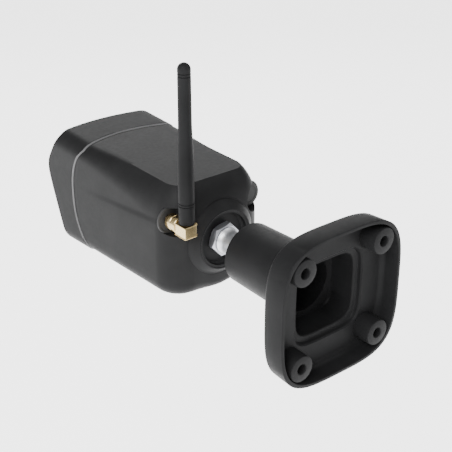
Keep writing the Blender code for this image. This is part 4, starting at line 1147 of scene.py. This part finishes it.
# --- wall bracket ------------------------------------------------------------------------------------------
@dataclass
class WallBracket:
    """Hollow square base with four bosses, square neck and tubular stem, cast in one piece."""

    half: float = 44.2
    depth: float = 16.0
    edge: float = 2.6
    wall: float = 2.2
    floor: float = -11.0
    root_half: float = 24.0
    root_radius: float = 8.0
    root_front: float = -33.0
    recess_half: float = 24.6
    recess_y: float = -14.0
    cavity_half: float = 21.2
    cavity_squareness: float = 5.0
    stem_radii: Flat = (19.9, 18.7)
    stem_bores: Flat = (17.3, 16.3)
    rim_y: float = -78.65
    shoulder_y: float = -58.0
    shoulder_bore: float = 12.5
    boss_spacing: float = 58.0
    boss_radius: float = 7.8
    screw_radius: float = 3.0
    head_radius: float = 5.2
    head_seat: float = -5.0

    def square(self, half: float, y: float, exponent: float = 3.7, count: int = 128) -> list[Point]:
        """A square ring with bulging sides and round corners, as a superellipse."""
        ring = []
        for k in range(count):
            turn = 2 * pi * (k + 0.5) / count
            c, s = cos(turn), sin(turn)
            size = half / (abs(c) ** exponent + abs(s) ** exponent) ** (1 / exponent)
            ring.append((size * c, y, size * s))
        return ring

    def build(self) -> None:
        """Model the casting and dress it."""
        skirt = [(self.half - 0.5, 0.0), (self.half - 0.15, -0.15), (self.half, -0.5)]
        lower = -self.depth + self.edge
        turns = [radians(15.0 * k) for k in range(7)]
        skirt += [(self.half - 0.6 - self.edge * (1 - cos(t)), lower - self.edge * sin(t)) for t in turns]
        casting = MAKER.loft("bracket_body", [self.square(half, y) for half, y in skirt], angle=28)
        MAKER.cut(casting, self.hollow())
        half, front = self.root_half, self.root_front
        box = rounded_rectangle(half, half, self.root_radius, 6)
        steps = [(self.floor - 1.5, 1.0), (front + 3.0, 1.0), (front + 1.6, 0.985), (front + 0.6, 0.955),
                 (front, 0.9)]
        neck = MAKER.loft("neck", [[(x * s, y, z * s) for x, z in box] for y, s in steps])
        stem = MAKER.turned("stem", [(self.stem_radii[0], front + 4.0),
                                     (self.stem_radii[1] + 0.1, self.rim_y + 1.2),
                                     (self.stem_radii[1] - 0.1, self.rim_y + 0.5),
                                     (self.stem_radii[1] - 0.5, self.rim_y + 0.12),
                                     (self.stem_radii[1] - 1.0, self.rim_y)], sides=128)
        MAKER.join(casting, neck, stem)
        MAKER.cut(casting, self.recess(), self.cavity(), self.bore())
        half = self.boss_spacing / 2
        places = [(x, 0.0, z) for x in (-half, half) for z in (-half, half)]
        MAKER.join(casting, *MAKER.copies(self.boss(), places))
        MAKER.cut(casting, *MAKER.copies(self.screw_way(), places))
        MAKER.smooth(casting, 28)
        dress(casting, Finish.CASTING, Body.BRACKET, ("bracket_casting",))

    def hollow(self) -> Piece:
        """The hollow on the wall side, with a wide fillet between its wall and its floor."""
        inner, radius = self.half - self.wall, 3.4
        rings = [(inner + 0.45, 1.0), (inner + 0.35, -0.1), (inner + 0.1, -0.35), (inner, -0.8)]
        turns = [radians(15.0 * k) for k in range(7)]
        rings += [(inner - 0.8 - radius * (1 - cos(t)), self.floor + radius - radius * sin(t)) for t in turns]
        return MAKER.loft("hollow", [self.square(half, y) for half, y in rings])

    def recess(self) -> Piece:
        """The shallow square step sunk in the floor round the cavity, with rounded edges."""
        half, floor = self.recess_half, self.floor
        rings = [(half + 0.9, floor + 3.0), (half + 0.9, floor + 0.2), (half + 0.75, floor - 0.1),
                 (half + 0.35, floor - 0.5), (half + 0.08, floor - 0.9), (half, floor - 1.3),
                 (half - 0.05, self.recess_y + 0.9), (half - 0.35, self.recess_y + 0.3),
                 (half - 0.9, self.recess_y)]
        return MAKER.loft("recess", [self.square(half, y, self.cavity_squareness) for half, y in rings])

    def cavity(self) -> Piece:
        """The square cavity between the base and the stem."""
        half, end = self.cavity_half, self.root_front + 2.4
        rings = [(half + 0.7, self.recess_y + 1.0), (half + 0.7, self.recess_y),
                 (half + 0.3, self.recess_y - 0.15),
                 (half, self.recess_y - 0.6), (half - 0.4, end + 1.2), (half - 0.9, end + 0.3),
                 (half - 1.8, end)]
        return MAKER.loft("cavity", [self.square(half, y, self.cavity_squareness) for half, y in rings])

    def bore(self) -> Piece:
        """The stepped bore of the stem: cable way, shoulder and the socket for the ball."""
        wide, narrow = self.stem_bores
        back = self.shoulder_y + 3.0
        profile = [(wide, self.root_front + 4.0), (narrow + 0.3, back), (self.shoulder_bore, back),
                   (self.shoulder_bore, self.shoulder_y), (narrow, self.shoulder_y),
                   (narrow, self.rim_y + 0.7),
                   (narrow + 0.6, self.rim_y - 0.1), (narrow + 0.6, self.rim_y - 2.0)]
        return MAKER.turned("bore", profile, sides=128)

    def boss(self) -> Piece:
        """A screw boss on the Y axis, flush with the wall face."""
        radius = self.boss_radius
        profile = [(radius + 0.5, self.floor - 2.0), (radius + 0.25, self.floor + 2.0), (radius, -0.5),
                   (radius - 0.15, -0.15), (radius - 0.5, 0.0)]
        return MAKER.turned("boss", profile, sides=64)

    def screw_way(self) -> Piece:
        """Hole and head seat for a wall screw on the Y axis."""
        hole, head = self.screw_radius, self.head_radius
        profile = [(hole + 0.4, 2.0), (hole + 0.4, 0.0), (hole, -0.4), (hole, self.head_seat),
                   (head, self.head_seat),
                   (head, -self.depth + 0.4), (head + 0.4, -self.depth), (head + 0.4, -self.depth - 2.0)]
        return MAKER.turned("screw_way", profile, sides=48)


# --- what is inside ----------------------------------------------------------------------------------------
def numbered(stem: str) -> tuple[str, ...]:
    """The names of four numbered nodes."""
    return tuple(f"{stem}_{k}" for k in range(1, 5))


@dataclass
class Insides:
    """Optics, boards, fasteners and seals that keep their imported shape, with real finishes."""

    groups: tuple[tuple[Finish, tuple[str, ...]], ...] = (
        (Finish.INNER, ("lens_barrel", "lens_holder", "ir_cut_housing", "speaker")),
        (Finish.RUBBER, ("housing_seal", "hatch_seal")),
        (Finish.CABLE, ("coax_pigtail",)),
        (Finish.BRASS_TURNED, ("jack_nut",) + numbered("board_standoff")),
        (Finish.STEEL, numbered("bezel_screw") + ("chassis_screw_a", "chassis_screw_b", "antenna_element")),
        (Finish.TIN, ("microphone", "microsd_socket", "wifi_module")),
        (Finish.ALUMINIUM, ("chassis_plate", "heat_sink")),
        (Finish.BOARD, ("main_board", "sensor_board", "led_board", "service_board")),
        (Finish.CHIP, ("processor", "image_sensor", "light_sensor", "microsd_card", "reset_switch")),
        (Finish.LENS, ("lens_front_element", "lens_rear_element", "ir_cut_filter")),
        (Finish.WHITE, ("reset_button",)),
        (Finish.PAD, ("thermal_pad",)),
        (Finish.LAMP, numbered("ir_led")),
    )

    def build(self) -> None:
        """Dress every node that stays as it was packed."""
        for finish, names in self.groups:
            for name in names:
                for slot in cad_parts[name].material_slots:
                    slot.material = finish.material()
                LOG.info("%s: %s", name, finish.value.name)


# --- studio ------------------------------------------------------------------------------------------------
@dataclass
class Studio:
    """Camera, pale floor and soft lights."""

    camera_at: Point = (340.06, 318.45, 274.17)
    azimuth: float = 140.886
    elevation: float = 26.187
    lens: float = 79.57
    floor_z: float = -420.0

    def build(self) -> None:
        """Set up the whole studio."""
        self.build_camera()
        self.build_floor()
        self.build_world()
        for name, at, aim, size, power in self.lamps():
            self.build_lamp(name, at, aim, size, power)

    def build_camera(self) -> None:
        """Place the camera behind and above the bracket, looking down along the body."""
        a, e = radians(self.azimuth), radians(self.elevation)
        back = Vector((sin(a) * cos(e), -cos(a) * cos(e), sin(e)))
        data = bpy.data.cameras.new("view_camera")
        data.lens, data.sensor_width = self.lens, 36.0
        data.clip_start, data.clip_end = 0.01, 100.0
        camera = bpy.data.objects.new("view_camera", data)
        camera.location = Vector(self.camera_at) * MM
        camera.rotation_mode = "QUATERNION"
        camera.rotation_quaternion = (-back).to_track_quat("-Z", "Y")
        bpy.context.scene.collection.objects.link(camera)
        bpy.context.scene.camera = camera

    def build_floor(self) -> None:
        """A large pale floor well below the wall-mounted camera."""
        MAKER.deselect()
        bpy.ops.mesh.primitive_plane_add(size=40.0, location=(0.0, 0.0, self.floor_z * MM))
        floor = bpy.context.object
        floor.name = floor.data.name = "studio_floor"
        shader = Shader("pale_floor")
        cloud = shader.spread(shader.noise(0.002, 2.0), 0.0, 1.0)
        colour = shader.blend(cloud, (0.90, 0.90, 0.90), (0.93, 0.93, 0.93))
        floor.data.materials.append(shader.finish(colour, 0.8, Emission_Color=(1.0, 1.0, 1.0, 1.0),
                                                  Emission_Strength=2.9))

    def build_world(self) -> None:
        """An even white surround."""
        world = bpy.data.worlds.new("white_surround")
        world.use_nodes = True
        background = world.node_tree.nodes["Background"]
        background.inputs["Color"].default_value = (1.0, 1.0, 1.0, 1.0)
        background.inputs["Strength"].default_value = 0.4
        bpy.context.scene.world = world

    def lamps(self) -> list[tuple[str, Point, Point, float, float]]:
        """Name, place, aim, size in metres and power in watts of each soft light."""
        middle = (0.0, -120.0, 0.0)
        return [("far_softbox", (-900.0, -1200.0, 800.0), middle, 1.2, 12.5),
                ("side_softbox", (1200.0, -600.0, 250.0), middle, 1.2, 3.0),
                ("line_softbox", (-700.0, 500.0, 1000.0), middle, 0.6, 4.0),
                ("view_softbox", (1000.0, 500.0, 1000.0), middle, 1.0, 32.0)]

    def build_lamp(self, name: str, at: Point, aim: Point, size: float, power: float) -> None:
        """Add one square area light that points at aim."""
        data = bpy.data.lights.new(name, "AREA")
        data.shape, data.size, data.energy = "SQUARE", size, power
        lamp = bpy.data.objects.new(name, data)
        lamp.location = Vector(at) * MM
        lamp.rotation_mode = "QUATERNION"
        lamp.rotation_quaternion = (Vector(aim) - Vector(at)).to_track_quat("-Z", "Y")
        bpy.context.scene.collection.objects.link(lamp)


def main() -> None:
    """Build the studio, then the sub-assemblies in order."""
    logging.basicConfig(level=logging.INFO, format="%(name)s: %(message)s")
    for part in (Studio(), WallBracket(), BallJoint(), CameraBody(), Antenna(), Insides()):
        LOG.info("building %s", type(part).__name__)
        part.build()


if __name__ == "__main__":
    main()
